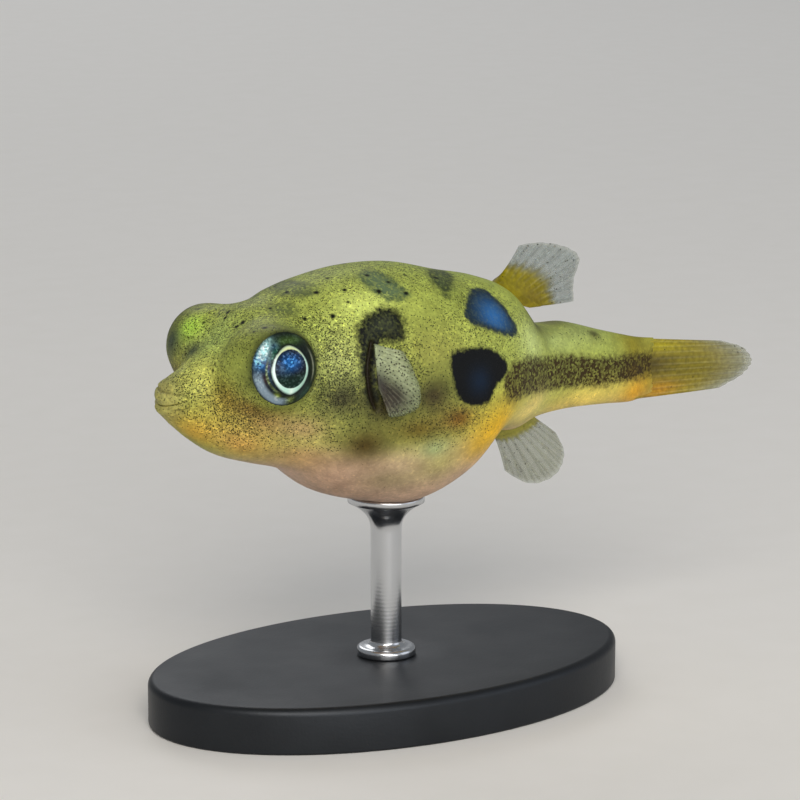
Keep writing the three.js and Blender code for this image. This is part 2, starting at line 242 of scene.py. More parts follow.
eye = {
    "at": 3.58, "side": 2.19, "level": 1.1,      # centre of the orbit
    "radius": 1.62,             # from there to the front of the eye
    "tilt": 6.0,                # it looks up by this many degrees
    "opening": 1.37,            # radius of the round hole in the skin
    "frontDepth": 0.58,         # the clear front is flatter than a ball
    "skin": 0.08,               # thickness of the skin over the ball
    "liftedFrom": 1.1,          # depth in the head that the skin is lifted away from
    "blend": 1.1,               # softness of the orbit's foot
    "flattened": 1.07,
    "rimWidth": 0.3,            # the skin turns in to the opening over this width
    "snap": 0.04, "settled": 0.16,               # rows nearer the rim are laid on it; those past this stay
    "rimShade": ("#232A18", 0.9, 0.2),           # colour, strength and reach of the shade round it
}
nostril = {
    "place": (1.89, -1.11, 1.05), "radius": 0.2, "height": 0.09,
    "pitGap": 0.2, "pitRadius": 0.05, "pitDepth": 0.07,
}
gill = {
    "line": [(7.28, -3.4, 1.85), (7.08, -3.5, 1.25), (6.96, -3.65, 0.6), (7.02, -3.75, -0.1),
             (7.2, -3.8, -0.6)],
    "depth": 0.2, "halfWidth": 0.07,
}
lipFolds = {
    "lines": [
        [(0.19, 0.0, 0.15), (0.26, -0.35, 0.17), (0.4, -0.71, 0.16), (0.63, -0.97, 0.12),
         (0.8, -1.03, 0.02)],                                    # over the upper lip
        [(0.2, -0.5, -0.43), (0.5, -0.8, -0.45), (0.85, -0.95, -0.38)],     # under the lower lip
    ],
    "depth": 0.035, "halfWidth": 0.05, "shade": 0.45,
}
finRootLobe = {"place": (7.5, -3.7, 0.75), "length": 0.3, "height": 1.0, "swell": 0.06}


def sectionPlaces():
    at = [section[0] for section in lipSections + bodySections]
    places = []
    for index in range(len(at) - 1):
        spacing = body["rowSpacing"] if at[index] < body["headEnds"] else body["rowSpacingBehind"]
        steps = max(6, math.ceil(abs(at[index + 1] - at[index]) / spacing))
        places += [index + k / steps for k in range(steps)]
    return np.array(places + [len(at) - 1.0])


def eyeAxes(side):
    # the middle of the orbit, the way the eye looks and the way up its front
    tilt = math.radians(eye["tilt"])
    centre = np.array([eye["at"], side * eye["side"], eye["level"]])
    gazing = np.array([0, side * math.cos(tilt), math.sin(tilt)])
    return centre, gazing, np.array([0, -side * math.sin(tilt), math.cos(tilt)])


def overOrbits(points):
    # skin is carried out over each ball, and turned in at the round opening
    for side in (-1, 1):
        centre, gazing, upward = eyeAxes(side)
        deep = eye["liftedFrom"]
        out = points - centre + np.array([0, side * deep, 0])
        distance = np.maximum(np.linalg.norm(out * [1, 1, eye["flattened"]], axis=-1), 1e-3)
        outward = side * deep * out[..., 1] / distance
        orbit = outward + np.sqrt((eye["radius"] + eye["skin"]) ** 2 - deep ** 2 + outward ** 2)
        reach = softMax(distance, orbit, eye["blend"])
        share = np.clip((points[..., 1] * side - 0.2) / 1.2, 0, 1)
        points = points + out * ((reach - distance) / distance * share)[..., None]

        out = points - centre
        distance = np.linalg.norm(out, axis=-1)
        tailward, up = out[..., 0], out @ upward
        ring = np.hypot(tailward, up)
        rim, snap, settled = eye["opening"], eye["snap"], eye["settled"]
        facing = (out @ gazing > 0.2) & (ring < rim + 0.6)
        beyond = rim + (ring - rim - snap) * settled / (settled - snap)
        snapped = np.where(ring < rim - snap, ring * (rim - 0.03) / (rim - snap),
                           np.where(ring < rim + snap, rim, beyond))
        newRing = np.where(ring < rim + settled, snapped, ring)
        rimDistance = np.hypot(rim, eye["radius"] - eye["frontDepth"]) + 0.012
        eased = smoothStep(0, eye["rimWidth"], newRing - rim)
        newDistance = rimDistance * (1 - eased) + distance * eased
        depth = np.sqrt(np.maximum(newDistance ** 2 - newRing ** 2, 0.01))
        depth = depth - 0.5 * smoothStep(0.0, 0.1, rim - 0.01 - newRing)     # sunk behind the eye's front
        scale = newRing / np.maximum(ring, 1e-4)
        moved = centre + depth[..., None] * gazing + (up * scale)[..., None] * upward
        moved[..., 0] += tailward * scale
        points = np.where(facing[..., None], moved, points)
    return points


def bodyPoints():
    places = sectionPlaces()[:, None]
    table = np.array(lipSections + bodySections)
    at, back, under, half, widest, setback = (through(table[:, k], places) for k in range(6))
    angle = -math.pi / 2 + np.linspace(0, 2 * math.pi, body["columns"], endpoint=False)[None, :]
    rounded = [np.sign(part) * np.abs(part) ** (2 / body["sectionPower"])
               for part in (np.cos(angle), np.sin(angle))]
    y = half * rounded[0]
    reach = np.where(np.sin(angle) > 0, back - widest, widest - under)
    z = widest + reach * rounded[1]
    smile = body["mouthCurve"] * (y * y - 0.35) * smoothStep(1.3, 0.5, at)
    level = z + smile * smoothStep(1.2, 0.2, np.abs(z - widest))
    return overOrbits(np.stack([at + setback * y * y, y, level], -1))


def skinNormals(points):
    # unit vectors straight out of the skin
    around = np.roll(points, -1, 1) - np.roll(points, 1, 1)
    outward = np.cross(np.gradient(points, axis=0), around)
    outward /= np.maximum(np.linalg.norm(outward, axis=-1, keepdims=True), 1e-9)
    middle = points.mean(1, keepdims=True)
    return outward * np.sign((outward * (points - middle)).sum(-1, keepdims=True).mean())


def mirrored(place, side):
    return np.array([place[0], -side * place[1], place[2]])


def nearestOn(points, place):
    miss = ((points - place) ** 2).sum(-1)
    return np.unravel_index(np.argmin(miss), miss.shape)


def localPlane(points, outward, place):
    # distances tailward and up the skin from one place on it, and off it
    nearest = nearestOn(points, place)
    normal = outward[nearest]
    along = np.array([1.0, 0.0, 0.0]) - normal[0] * normal
    along /= np.linalg.norm(along)
    up = np.cross(normal, along)
    up = up if up[2] > 0 else -up
    away = points - points[nearest]
    return away @ along, away @ up, away @ normal


def foldDistance(points, line, side):
    # distance from a smooth line laid on the skin through the named places
    laid = [points[nearestOn(points, mirrored(place, side))] for place in line]
    route = smoothRoute(laid, np.linspace(0, len(laid) - 1, 24))
    return np.linalg.norm(points[..., None, :] - route, axis=-1).min(-1)


def bumped(points):
    # the skin with its nostrils, fin roots, gill creases and lip folds, and the painted shade in their
    # hollows
    outward = skinNormals(points)
    rise = np.zeros(points.shape[:2])
    dark = np.zeros(points.shape[:2])
    for side in (-1, 1):
        a, b, c = localPlane(points, outward, mirrored(nostril["place"], side))
        near = np.abs(c) < 0.8
        rise += near * nostril["height"] * np.exp(-(a * a + b * b) / nostril["radius"] ** 2)
        for step in (-0.5, 0.5):
            pit = np.hypot(a - step * nostril["pitGap"], b - step * 0.5 * nostril["pitGap"])
            hollow = near * smoothStep(2 * nostril["pitRadius"], 0.4 * nostril["pitRadius"], pit)
            rise -= nostril["pitDepth"] * hollow
            dark = np.maximum(dark, hollow)

        a, b, c = localPlane(points, outward, mirrored(finRootLobe["place"], side))
        lobe = (a / finRootLobe["length"]) ** 2 + (b / finRootLobe["height"]) ** 2
        rise += (np.abs(c) < 1.5) * finRootLobe["swell"] * smoothStep(1.3, 0.1, lobe)

        close = foldDistance(points, gill["line"], side)
        groove = smoothStep(2.2 * gill["halfWidth"], 0.3 * gill["halfWidth"], close)
        rise -= gill["depth"] * groove
        dark = np.maximum(dark, groove)
        for line in lipFolds["lines"]:
            groove = np.exp(-(foldDistance(points, line, side) / lipFolds["halfWidth"]) ** 2)
            rise -= lipFolds["depth"] * groove
            dark = np.maximum(dark, lipFolds["shade"] * groove)
    return points + outward * rise[..., None], dark


skinPoints, pitShade = bumped(bodyPoints())
print("body shaped:", skinPoints.shape[0], "rows of", skinPoints.shape[1])

# markings: worked out on the skin's points, in millimetres, and given their fine grain by the material

# a zone is a place on the left side, how far it reaches along and around, its colour and its strength;
# the right side has the same, and a zone placed on the right is there alone
paintBase = {"back": "#98A24C", "belly": "#CFAF92", "from": -3.4, "to": -1.8}
paintZones = [
    ((10.5, 0.0, 3.9), (6.5, 2.6), "#A0AE52", 0.85),        # lime back
    ((7.5, -2.45, 3.1), (1.2, 0.8), "#CCD974", 0.8),        # pale hump, a painted highlight
    ((9.8, -3.8, 1.3), (1.6, 1.1), "#8E9045", 0.85),        # flank
    ((9.6, -4.03, -0.35), (1.3, 1.0), "#2A2012", 0.95),     # dark patch low on the flank
    ((11.4, -2.2, 3.1), (0.9, 0.7), "#76823A", 0.6),        # duller skin over the flank spot
    ((2.45, 0.0, 1.9), (1.2, 1.0), "#A9BE66", 0.8),         # top of the snout
    ((1.23, -0.74, 0.92), (0.9, 0.8), "#C8CA6A", 0.85),     # side of the snout
    ((0.3, 0.0, -0.1), (0.6, 1.3), "#A39C60", 0.9),         # lips
    ((5.9, -3.2, 1.3), (1.1, 1.2), "#A7AF68", 0.85),        # behind the eye
    ((5.9, -3.47, -0.15), (1.5, 0.9), "#33331C", 0.95),     # dark skin low behind the eye
    ((2.0, -1.8, -0.1), (1.1, 0.9), "#97823A", 0.85),       # brown cheek
    ((2.6, -2.5, -0.3), (0.7, 0.5), "#80602A", 0.7),        # deeper brown under the eye
    ((3.3, -2.5, -0.9), (1.2, 0.7), "#8E7443", 0.85),       # lower cheek
    ((1.1, -0.8, -1.4), (1.2, 0.8), "#B8943A", 0.9),        # golden chin
    ((2.6, -1.7, -1.8), (1.5, 0.8), "#C29A50", 0.9),        # jaw
    ((5.0, -2.3, -2.6), (1.6, 0.9), "#BE9A60", 0.9),        # throat
    ((4.5, -2.9, -1.25), (1.3, 0.5), "#A88C60", 0.75),      # tan skin over the throat
    ((8.5, 0.0, -4.9), (3.5, 3.0), "#C4A590", 0.95),        # pink underside
    ((6.6, -2.6, -3.5), (1.6, 1.2), "#BB9A82", 0.9),        # front of the belly
    ((8.4, -3.0, -3.6), (1.6, 0.8), "#978966", 0.8),        # greyer side of the belly
    ((10.3, -3.6, -3.1), (1.3, 0.9), "#9E995A", 0.8),       # olive side of the belly
    ((6.9, -3.5, -2.0), (1.2, 0.9), "#3E2D0A", 0.95),       # brown patch behind the cheek
    ((7.5, -3.87, -0.6), (1.0, 0.8), "#2A2013", 0.92),      # dark skin under the side fin
    ((9.0, -3.95, -1.6), (1.3, 0.6), "#5E4E1A", 0.9),       # brown skin between the two patches
    ((10.8, -4.0, -1.4), (0.9, 0.55), "#653F16", 0.9),      # brown patch under the flank
    ((9.8, -3.9, -2.5), (0.6, 0.35), "#94A673", 0.75),      # cool green patch
    ((12.0, -3.6, -2.6), (0.9, 0.9), "#BA9B40", 0.9),       # yellow rear of the belly
    ((13.0, -3.2, -2.2), (1.3, 1.2), "#E0AE14", 0.95),      # brightest yellow, over the vent
    ((15.1, -2.3, 0.8), (1.2, 0.9), "#B6C47C", 0.85),       # front of the stalk
    ((17.0, -1.2, 0.4), (1.2, 0.5), "#A9B873", 0.6),        # side of the stalk
    ((15.3, -2.2, -1.9), (1.7, 0.8), "#DCC674", 0.9),       # cream over the anal fin
    ((18.2, -0.6, 0.5), (2.2, 0.7), "#8E9A5C", 0.85),       # olive upper side of the stalk
    ((18.2, -0.6, -2.2), (2.9, 0.8), "#E4C964", 0.95),      # cream under the stalk
    ((21.4, -0.4, -0.4), (0.9, 0.9), "#807620", 0.9),       # end of the stalk
    ((22.4, -0.3, -1.4), (0.8, 1.5), "#857A28", 0.9),       # root of the tail fin
    ((21.2, -0.5, -1.3), (0.5, 0.3), "#5A4A1C", 0.8),       # dark streak before it
    ((21.5, -0.4, -2.3), (1.0, 0.7), "#C49020", 0.9),       # ochre under it
    ((16.0, 0.0, 2.2), (1.2, 0.7), "#A8991A", 0.85),        # root of the dorsal fin
    ((5.05, -2.6, 2.24), (0.9, 0.8), "#98A552", 0.7),       # nape
    ((2.3, 1.6, 2.1), (0.5, 0.55), "#AED650", 0.9),         # green brow over the right eye, a painted highlight
    ((1.95, 0.75, 1.35), (0.4, 0.55), "#3C4A40", 0.85),     # painted shade in the hollow between the eyes
    ((1.95, 2.3, 1.45), (0.4, 0.75), "#34423C", 0.92),      # grey front of the orbit
    ((16.1, -1.1, 1.4), (1.0, 0.7), "#322C14", 0.92),       # shade under the dorsal fin
    ((17.6, 0.0, 1.1), (0.7, 0.5), "#4E4826", 0.8),         # shade behind the dorsal fin
    ((19.3, -0.55, 0.35), (0.3, 0.22), "#322E1C", 0.85),    # small dark spot on the stalk
]

# a blotch has its middle on the left side and its outline tailward and up from there; its colour and how
# strongly it covers; the colour inside it, round a core placed and sized like the outline; and its softness
blotches = {
    "flankSpot": {
        "middle": (11.81, -3.86, 0.05), "colour": "#050708", "strength": 1.0, "inside": "#0A1A2C",
        "core": (0.0, -0.15, 0.5),
        "outline": [(-1.17, 1.08), (-0.08, 1.11), (0.63, 1.04), (1.16, 0.77), (1.63, 0.24), (1.41, -0.15),
                    (0.87, -0.47), (0.52, -0.97), (0.12, -1.14), (-0.42, -1.05), (-0.91, -0.8),
                    (-1.24, -0.27), (-1.34, 0.41)],
    },
    "blueSpot": {
        "middle": (12.97, -2.74, 2.21), "colour": "#1C2B34", "strength": 0.97, "inside": "#2A619C",
        "core": (0.15, -0.1, 0.7),
        "outline": [(-0.15, 1.24), (0.5, 1.22), (0.84, 0.7), (1.16, 0.04), (1.41, -0.44), (1.12, -0.85),
                    (0.41, -0.88), (-0.38, -0.69), (-1.16, -0.45), (-1.36, -0.03), (-0.85, 0.67)],
    },
    "hook": {
        "middle": (7.58, -3.48, 1.7), "colour": "#0B0E0B", "strength": 0.95, "inside": "#2A2F26",
        "core": (0.3, 0.9, 0.9), "softness": 1.7,
        "outline": [(-0.75, -2.0), (-0.95, -1.4), (-0.92, -0.58), (-0.9, 0.39), (-0.6, 0.97), (0.05, 1.35),
                    (0.63, 1.48), (0.99, 1.32), (1.2, 0.84), (1.16, 0.35), (1.0, 0.04), (0.7, -0.02),
                    (0.45, 0.03), (0.1, 0.12), (-0.06, -0.06), (-0.1, -0.42), (-0.28, -0.86),
                    (-0.3, -1.39), (-0.3, -1.85), (-0.5, -2.1)],
    },
    "saddle": {
        "middle": (8.68, -1.99, 3.59), "colour": "#4C5C3C", "strength": 0.8, "inside": "#5B6E4E",
        "softness": 1.3,
        "outline": [(-0.54, 1.1), (-0.04, 1.2), (0.36, 0.93), (0.54, 0.36), (0.73, -0.12), (0.87, -0.51),
                    (0.61, -0.73), (0.04, -0.83), (-0.31, -0.69), (-0.65, -0.11), (-0.74, 0.57)],
    },
    "rearSaddle": {
        "middle": (11.44, -1.69, 3.44), "colour": "#3A4426", "strength": 0.85, "inside": "#424E30",
        "softness": 1.8,
        "outline": [(-0.3, 0.67), (0.2, 1.2), (1.0, 1.5), (1.24, 0.93), (0.42, -0.21), (-0.22, -0.95),
                    (-0.35, -0.6), (-0.6, -0.11)],
    },
    "crownSpot": {
        "middle": (5.58, -0.69, 3.52), "colour": "#596338", "strength": 0.7, "inside": "#5F6A3F",
        "softness": 1.8,
        "outline": [(-0.6, 0.79), (0.03, 1.07), (0.58, 0.69), (0.7, -0.34), (0.4, -0.71), (-0.11, -0.55),
                    (-0.53, 0.02)],
    },
    "browSpot": {
        "middle": (4.72, -1.29, 2.98), "colour": "#5E6838", "strength": 0.65, "inside": "#626D3F",
        "softness": 1.8,
        "outline": [(-0.45, 0.39), (0.04, 0.57), (0.45, 0.1), (0.51, -0.35), (0.25, -0.52), (-0.3, -0.3),
                    (-0.53, 0.07)],
    },
}
stalkBand = {
    "line": [(13.8, -3.3, -0.45), (14.8, -2.75, -0.45), (16.5, -1.75, -0.7), (17.6, -1.35, -0.83),
             (19.3, -1.0, -1.1), (21.1, -0.65, -1.2), (22.5, -0.25, -1.25)],
    "halfWidth": (0.8, 0.5),    # at its front and at its end
    "colour": "#33260F", "strength": 0.8, "softness": 2.0,
}
# where the fine black grain lies: place on the left side, reach along and around, density
grainZones = [
    ((3.5, 0.0, 2.6), (4.5, 3.0), 0.7),         # top of the head
    ((5.8, -3.1, 1.1), (1.7, 2.2), 1.0),        # behind the eye
    ((2.3, -2.0, -0.4), (1.9, 1.5), 1.0),       # cheek
    ((0.9, -0.6, 0.3), (1.4, 1.3), 0.8),        # snout
    ((8.0, -3.5, 0.9), (1.4, 2.2), 0.9),        # shoulder
    ((9.0, 0.0, 3.9), (4.5, 2.8), 0.65),        # back
    ((5.0, -2.5, 2.6), (1.1, 0.9), 1.0),        # nape
    ((5.0, -3.0, -1.2), (2.4, 1.0), 0.5),       # under the eye
    ((12.5, -3.0, 1.8), (3.0, 2.2), 0.5),       # flank
    ((10.5, -3.8, -1.2), (2.2, 1.2), 0.55),     # low on the flank
    ((18.0, -0.8, 0.3), (3.0, 0.8), 0.12),      # upper side of the stalk
    ((17.5, -1.0, -1.0), (4.0, 0.8), 0.25),     # along the stalk
    ((3.6, -2.4, -2.0), (1.8, 0.6), 0.3),       # jaw
]
pores = [
    (2.72, 1.23, 2.32), (3.2, 0.43, 2.55), (3.25, -0.78, 2.55),      # between the eyes
    (2.82, -2.3, 2.58), (3.21, -2.54, 2.72),                         # over the left eye
    (4.34, -0.93, 3.01), (5.3, -0.54, 3.45), (6.13, -1.31, 3.5),     # crown
    (5.18, -2.06, 2.73), (6.16, -2.44, 2.77),                        # nape
    (6.95, -2.22, 3.19), (7.12, -1.71, 3.54), (8.35, -2.17, 3.46),   # hump
    (8.97, -1.85, 3.68), (8.4, -1.22, 3.91), (9.9, -1.49, 3.82),     # back
    (9.41, -2.42, 3.32), (11.29, -1.51, 3.56), (6.99, -0.67, 3.84),
]
poreRadius = 0.085
# the right side's blotches are a little resized and moved, and its pores moved
rightSide = {"resized": (0.86, 1.12), "moved": 0.18, "poresMoved": 0.25}


def smoothLoop(outline, steps=4):
    # a smooth closed line through the named corners
    wrapped = outline[-2:] + outline + outline[:3]
    return smoothRoute(wrapped, 2 + np.arange(len(outline) * steps) / steps)


def outlineDistance(a, b, outline):
    # distance from a closed outline, less than nothing inside
    nearest = np.full(a.shape, 1e3)
    inside = np.zeros(a.shape, bool)
    for (a0, b0), (a1, b1) in zip(outline, np.roll(outline, -1, 0)):
        da, db = a1 - a0, b1 - b0
        t = np.clip(((a - a0) * da + (b - b0) * db) / (da * da + db * db + 1e-12), 0, 1)
        nearest = np.minimum(nearest, np.hypot(a - a0 - t * da, b - b0 - t * db))
        crosses = (b0 > b) != (b1 > b)
        inside ^= crosses & (a < a0 + (b - b0) * da / (db if abs(db) > 1e-9 else 1e-9))
    return np.where(inside, -nearest, nearest)


def bandDistance(points, line, halfWidth, steps=12):
    # distance from a band's edge, less than nothing inside; its half width runs from the first to the last
    route = smoothRoute(line, np.linspace(0, len(line) - 1, len(line) * steps))
    nearest = np.full(points.shape[:-1], 1e3)
    for place, half in zip(route, np.linspace(*halfWidth, len(route))):
        nearest = np.minimum(nearest, np.linalg.norm(points - place, axis=-1) - half)
    return nearest


def zoneMiss(points, middle, reach):
    # how far out in a zone each point lies, squared: 1 at its reach along or around
    away = points - np.array(middle)
    return (away[..., 0] / reach[0]) ** 2 + (away[..., 1] ** 2 + away[..., 2] ** 2) / reach[1] ** 2


def groundPaint(points, leftwards):
    upward = smoothStep(paintBase["from"], paintBase["to"], points[..., 2])[..., None]
    paint = upward * np.array(linear(paintBase["back"])) + (1 - upward) * np.array(linear(paintBase["belly"]))
    for middle, reach, colour, strength in paintZones:
        miss = zoneMiss(points if middle[1] > 0 else leftwards, middle, reach)
        paint = mixedIn(paint, colour, strength * np.exp(-miss))
    colour, strength, reach = eye["rimShade"]
    centre, gazing, upward = eyeAxes(-1)
    fromEye = leftwards - centre
    overEye = fromEye @ upward
    ring = np.maximum(np.hypot(fromEye[..., 0], overEye) - eye["opening"], 0)
    shade = strength * np.exp(-(ring / reach) ** 1.3) * (fromEye @ gazing > 0)
    return mixedIn(paint, colour, shade * (0.35 + 0.65 * smoothStep(-1.3, -0.3, overEye)))   # fainter below


def laidOver(below, distance, colour, strength):
    # each marking keeps its own edge; the one a point is deepest in wins
    edge, paint, strengthHere = below
    wins = distance < edge
    return (np.where(wins, distance, edge), np.where(wins[..., None], colour, paint),
            np.where(wins, strength, strengthHere))


def blotchMarks(points, outward, random):
    # distance from the edge of the marking at each point, its colour and its strength
    shape = points.shape[:2]
    marks = np.full(shape, 1.0), np.zeros(shape + (4,)), np.zeros(shape)
    for blotch in blotches.values():
        for side in (-1, 1):
            outline = smoothLoop(blotch["outline"])
            if side > 0:
                outline = outline * random.uniform(*rightSide["resized"], 2)
                outline = outline + random.uniform(-rightSide["moved"], rightSide["moved"], 2)
            a, b, c = localPlane(points, outward, mirrored(blotch["middle"], side))
            near = (np.hypot(a, b) < 4) & (np.abs(c) < 1.6) & (points[..., 1] * side > -0.3)
            distance = np.full(shape, 1.0)
            distance[near] = outlineDistance(a[near], b[near], outline) / blotch.get("softness", 1.0)
            coreA, coreB, coreReach = blotch.get("core", (0, 0, 2.0))
            core = np.exp(-((a - coreA) ** 2 + (b - coreB) ** 2) / coreReach ** 2)
            deep = (smoothStep(-0.05, -0.35, distance) * core)[..., None]
            outer, inner = np.array(linear(blotch["colour"])), np.array(linear(blotch["inside"]))
            colour = outer * (1 - deep) + inner * deep
            marks = laidOver(marks, distance, colour, blotch["strength"])
    for side in (-1, 1):
        line = [mirrored(place, side) for place in stalkBand["line"]]
        distance = bandDistance(points, line, stalkBand["halfWidth"]) / stalkBand["softness"]
        marks = laidOver(marks, distance, np.array(linear(stalkBand["colour"])), stalkBand["strength"])
    marks[1][..., 3] = 1
    return marks


def grainDensity(leftwards):
    grain = np.zeros(leftwards.shape[:2])
    for middle, reach, density in grainZones:
        grain = np.maximum(grain, density * np.exp(-zoneMiss(leftwards, middle, reach) ** 1.4))
    return grain * (0.4 + 0.6 * smoothStep(0.3, 0.8, leftwards[..., 0]))      # sparser on the lips


def poreMarks(points, random):
    black = np.zeros(points.shape[:2])
    for index, place in enumerate(pores):
        size = poreRadius * (0.75 + 0.5 * ((index * 7) % 5) / 4)              # five sizes
        for side in (-1, 1):
            moved = mirrored(place, side)
            if side > 0:
                moved = moved + rightSide["poresMoved"] * random.standard_normal(3)
            away = np.linalg.norm(points - points[nearestOn(points, moved)], axis=-1)
            black = np.maximum(black, smoothStep(1.5 * size, 0.6 * size, away))
    return black


def paintedSkin(points, hollowShades):
    leftwards = np.stack([points[..., 0], -np.abs(points[..., 1]), points[..., 2]], -1)
    random = np.random.default_rng(7)
    edge, blotchPaint, strength = blotchMarks(points, skinNormals(points), random)
    return {"paint": groundPaint(points, leftwards), "blotchPaint": blotchPaint, "blotchEdge": edge,
            "blotchStrength": strength, "grain": grainDensity(leftwards), "pore": poreMarks(points, random),
            "creaseShade": hollowShades}


def pufferSkin():
    # puffer skin: scaleless and wet; a thin film of slime gives it a soft broad shine, and light goes a
    # little way in. Black pigment cells 0.04 to 0.08 mm across lie over a yellow and green ground.
    material, tree, place = newMaterial("pufferSkin")
    grain = addNode(tree, "Attribute", attribute_name="grain")
    edge = addNode(tree, "Attribute", attribute_name="blotchEdge")
    strength = addNode(tree, "Attribute", attribute_name="blotchStrength")

    # ground: mottling 0.8 mm across, then grains 0.1 mm across, some of them pale
    mottle = addNode(tree, "TexNoise", {"Vector": place, "Scale": 1300.0, "Detail": 4.0, "Roughness": 0.6})
    shade = addNode(tree, "MapRange", {"Value": mottle, "From Min": 0.35, "From Max": 0.65, "To Min": 0.84,
                                       "To Max": 1.14})
    shaded = addNode(tree, "Mix", {0: 1.0, 6: addNode(tree, "Attribute", attribute_name="paint"), 7: shade},
                     **multiplied)
    grains = addNode(tree, "TexVoronoi", {"Vector": place, "Scale": 11500.0})
    grainTone = addNode(tree, "SeparateColor", {"Color": grains.outputs["Color"]})
    lightness = addNode(tree, "MapRange", {"Value": grainTone, "To Min": 0.55, "To Max": 1.4})
    spread = addNode(tree, "Math", {0: grain, 1: 0.65, 2: 0.22}, **scaledPlus)
    plainer = addNode(tree, "Mix", {0: spread, 6: linear("#FFFFFF"), 7: lightness}, **asColour)
    grained = addNode(tree, "Mix", {0: 1.0, 6: shaded, 7: plainer}, **multiplied)
    flecks = addNode(tree, "TexNoise", {"Vector": place, "Scale": 7000.0, "Detail": 2.0, "Roughness": 0.6})
    fleck = addNode(tree, "MapRange", {"Value": flecks, "From Min": 0.56, "From Max": 0.7}, **smoothly)
    fleckShare = addNode(tree, "Math", {0: fleck, 1: spread}, **times)
    ground = addNode(tree, "Mix", {0: fleckShare, 6: grained, 7: (2.0, 1.9, 1.55, 1)}, **multiplied)

    # blotches: fuzzy edges, and pale grains between the pigment of the weaker ones
    wander = addNode(tree, "TexNoise", {"Vector": place, "Scale": 4500.0, "Detail": 3.0, "Roughness": 0.7})
    ragged = addNode(tree, "Math", {0: wander, 1: 0.4, 2: -0.2}, **scaledPlus)
    roughEdge = addNode(tree, "Math", {0: ragged, 1: edge}, operation="ADD")
    inBlotch = addNode(tree, "MapRange", {"Value": roughEdge, "From Min": 0.11, "From Max": -0.11},
                       **smoothly)
    gaps = addNode(tree, "MapRange", {"Value": grainTone.outputs[1], "From Min": 0.35, "From Max": 0.95})
    openness = addNode(tree, "MapRange", {"Value": strength, "From Min": 1.0, "From Max": 0.6, "To Max": 0.9})
    gapShare = addNode(tree, "Math", {0: gaps, 1: openness}, **times)
    pigment = addNode(tree, "Math", {0: 1.0, 1: gapShare}, operation="SUBTRACT")
    blotchShare = addNode(tree, "Math", {0: inBlotch, 1: pigment}, **times)
    blotched = addNode(tree, "Mix", {0: blotchShare, 6: ground,
                                     7: addNode(tree, "Attribute", attribute_name="blotchPaint")},
                       **asColour)

    # black pigment cells, more of them where the grain is dense
    cells = addNode(tree, "TexVoronoi", {"Vector": place, "Scale": 17500.0})
    chance = addNode(tree, "SeparateColor", {"Color": cells.outputs["Color"]})
    clouds = addNode(tree, "TexNoise", {"Vector": place, "Scale": 1800.0, "Detail": 2.0})
    density = addNode(tree, "Math", {0: clouds, 1: 0.45, 2: grain}, **scaledPlus)
    spare = addNode(tree, "Math", {0: density, 1: chance}, operation="SUBTRACT")
    present = addNode(tree, "MapRange", {"Value": spare, "From Min": 0.2, "From Max": 0.34}, **smoothly)
    reach = addNode(tree, "Math", {0: chance.outputs[1], 1: 0.16, 2: 0.36}, **scaledPlus)
    inCell = addNode(tree, "Math", {0: cells, 1: reach}, operation="SUBTRACT")
    cell = addNode(tree, "MapRange", {"Value": inCell, "From Min": 0.1, "From Max": -0.1}, **smoothly)
    dot = addNode(tree, "Math", {0: cell, 1: present}, **times)
    ownInk = addNode(tree, "Math", {0: blotchShare, 1: -0.85, 2: 0.93}, **scaledPlus)
    dotShare = addNode(tree, "Math", {0: dot, 1: ownInk}, **times)
    speckled = addNode(tree, "Mix", {0: dotShare, 6: blotched, 7: linear("#0C0D06")}, **asColour)
    pored = addNode(tree, "Mix", {0: addNode(tree, "Attribute", attribute_name="pore"), 6: speckled,
                                  7: linear("#080906")}, **asColour)
    # painted shade in the nostril pits, the gill groove and the lip folds
    creaseShaded = addNode(tree, "Mix", {0: addNode(tree, "Attribute", attribute_name="creaseShade"), 6: pored,
                                    7: linear("#1E180D")}, **asColour)

    height = addNode(tree, "Math", {0: dot, 1: -0.5, 2: flecks}, **scaledPlus)
    bump = addNode(tree, "Bump", {"Height": height, "Strength": 0.5, "Distance": 0.00003})
    roughness = addNode(tree, "MapRange", {"Value": mottle, "To Min": 0.42, "To Max": 0.66})
    shader = addNode(tree, "BsdfPrincipled", {
        "Base Color": creaseShaded, "Roughness": roughness, "IOR": 1.36, "Specular IOR Level": 0.22,
        "Subsurface Weight": 0.1, "Subsurface Radius": (1.0, 0.6, 0.3), "Subsurface Scale": 0.0002,
        "Coat Weight": 0.05, "Coat Roughness": 0.2, "Coat IOR": 1.34, "Normal": bump,
    })
    addNode(tree, "OutputMaterial", {"Surface": shader})
    return material


skinMarks = paintedSkin(skinPoints, pitShade)
skin = gridMesh("skin", skinPoints, skinMarks)
dressed(skin, pufferSkin(), "skin", "head", "trunk", "belly", "tail_stalk", "upper_lip", "lower_lip")
print("skin marked")


# eyes: the iris lies under a clear wet front, flatter than a ball

eyeball = {
    "gaze": (0.03, 0.03),       # the pupil's middle, tailward and up from the middle of the front
    "pupil": (0.67, 0.72),      # its half width and half height
    "ring": (0.765, 0.875),     # the same of the pale ring's outer edge
    "ringDrop": 0.055,          # the ring stands this much lower than the pupil
    "ringPower": 1.7,           # under 2, so the ring is a little pointed
    "ringRaised": 0.01,
    "rings": 220, "backRings": 30, "columns": 320,
}
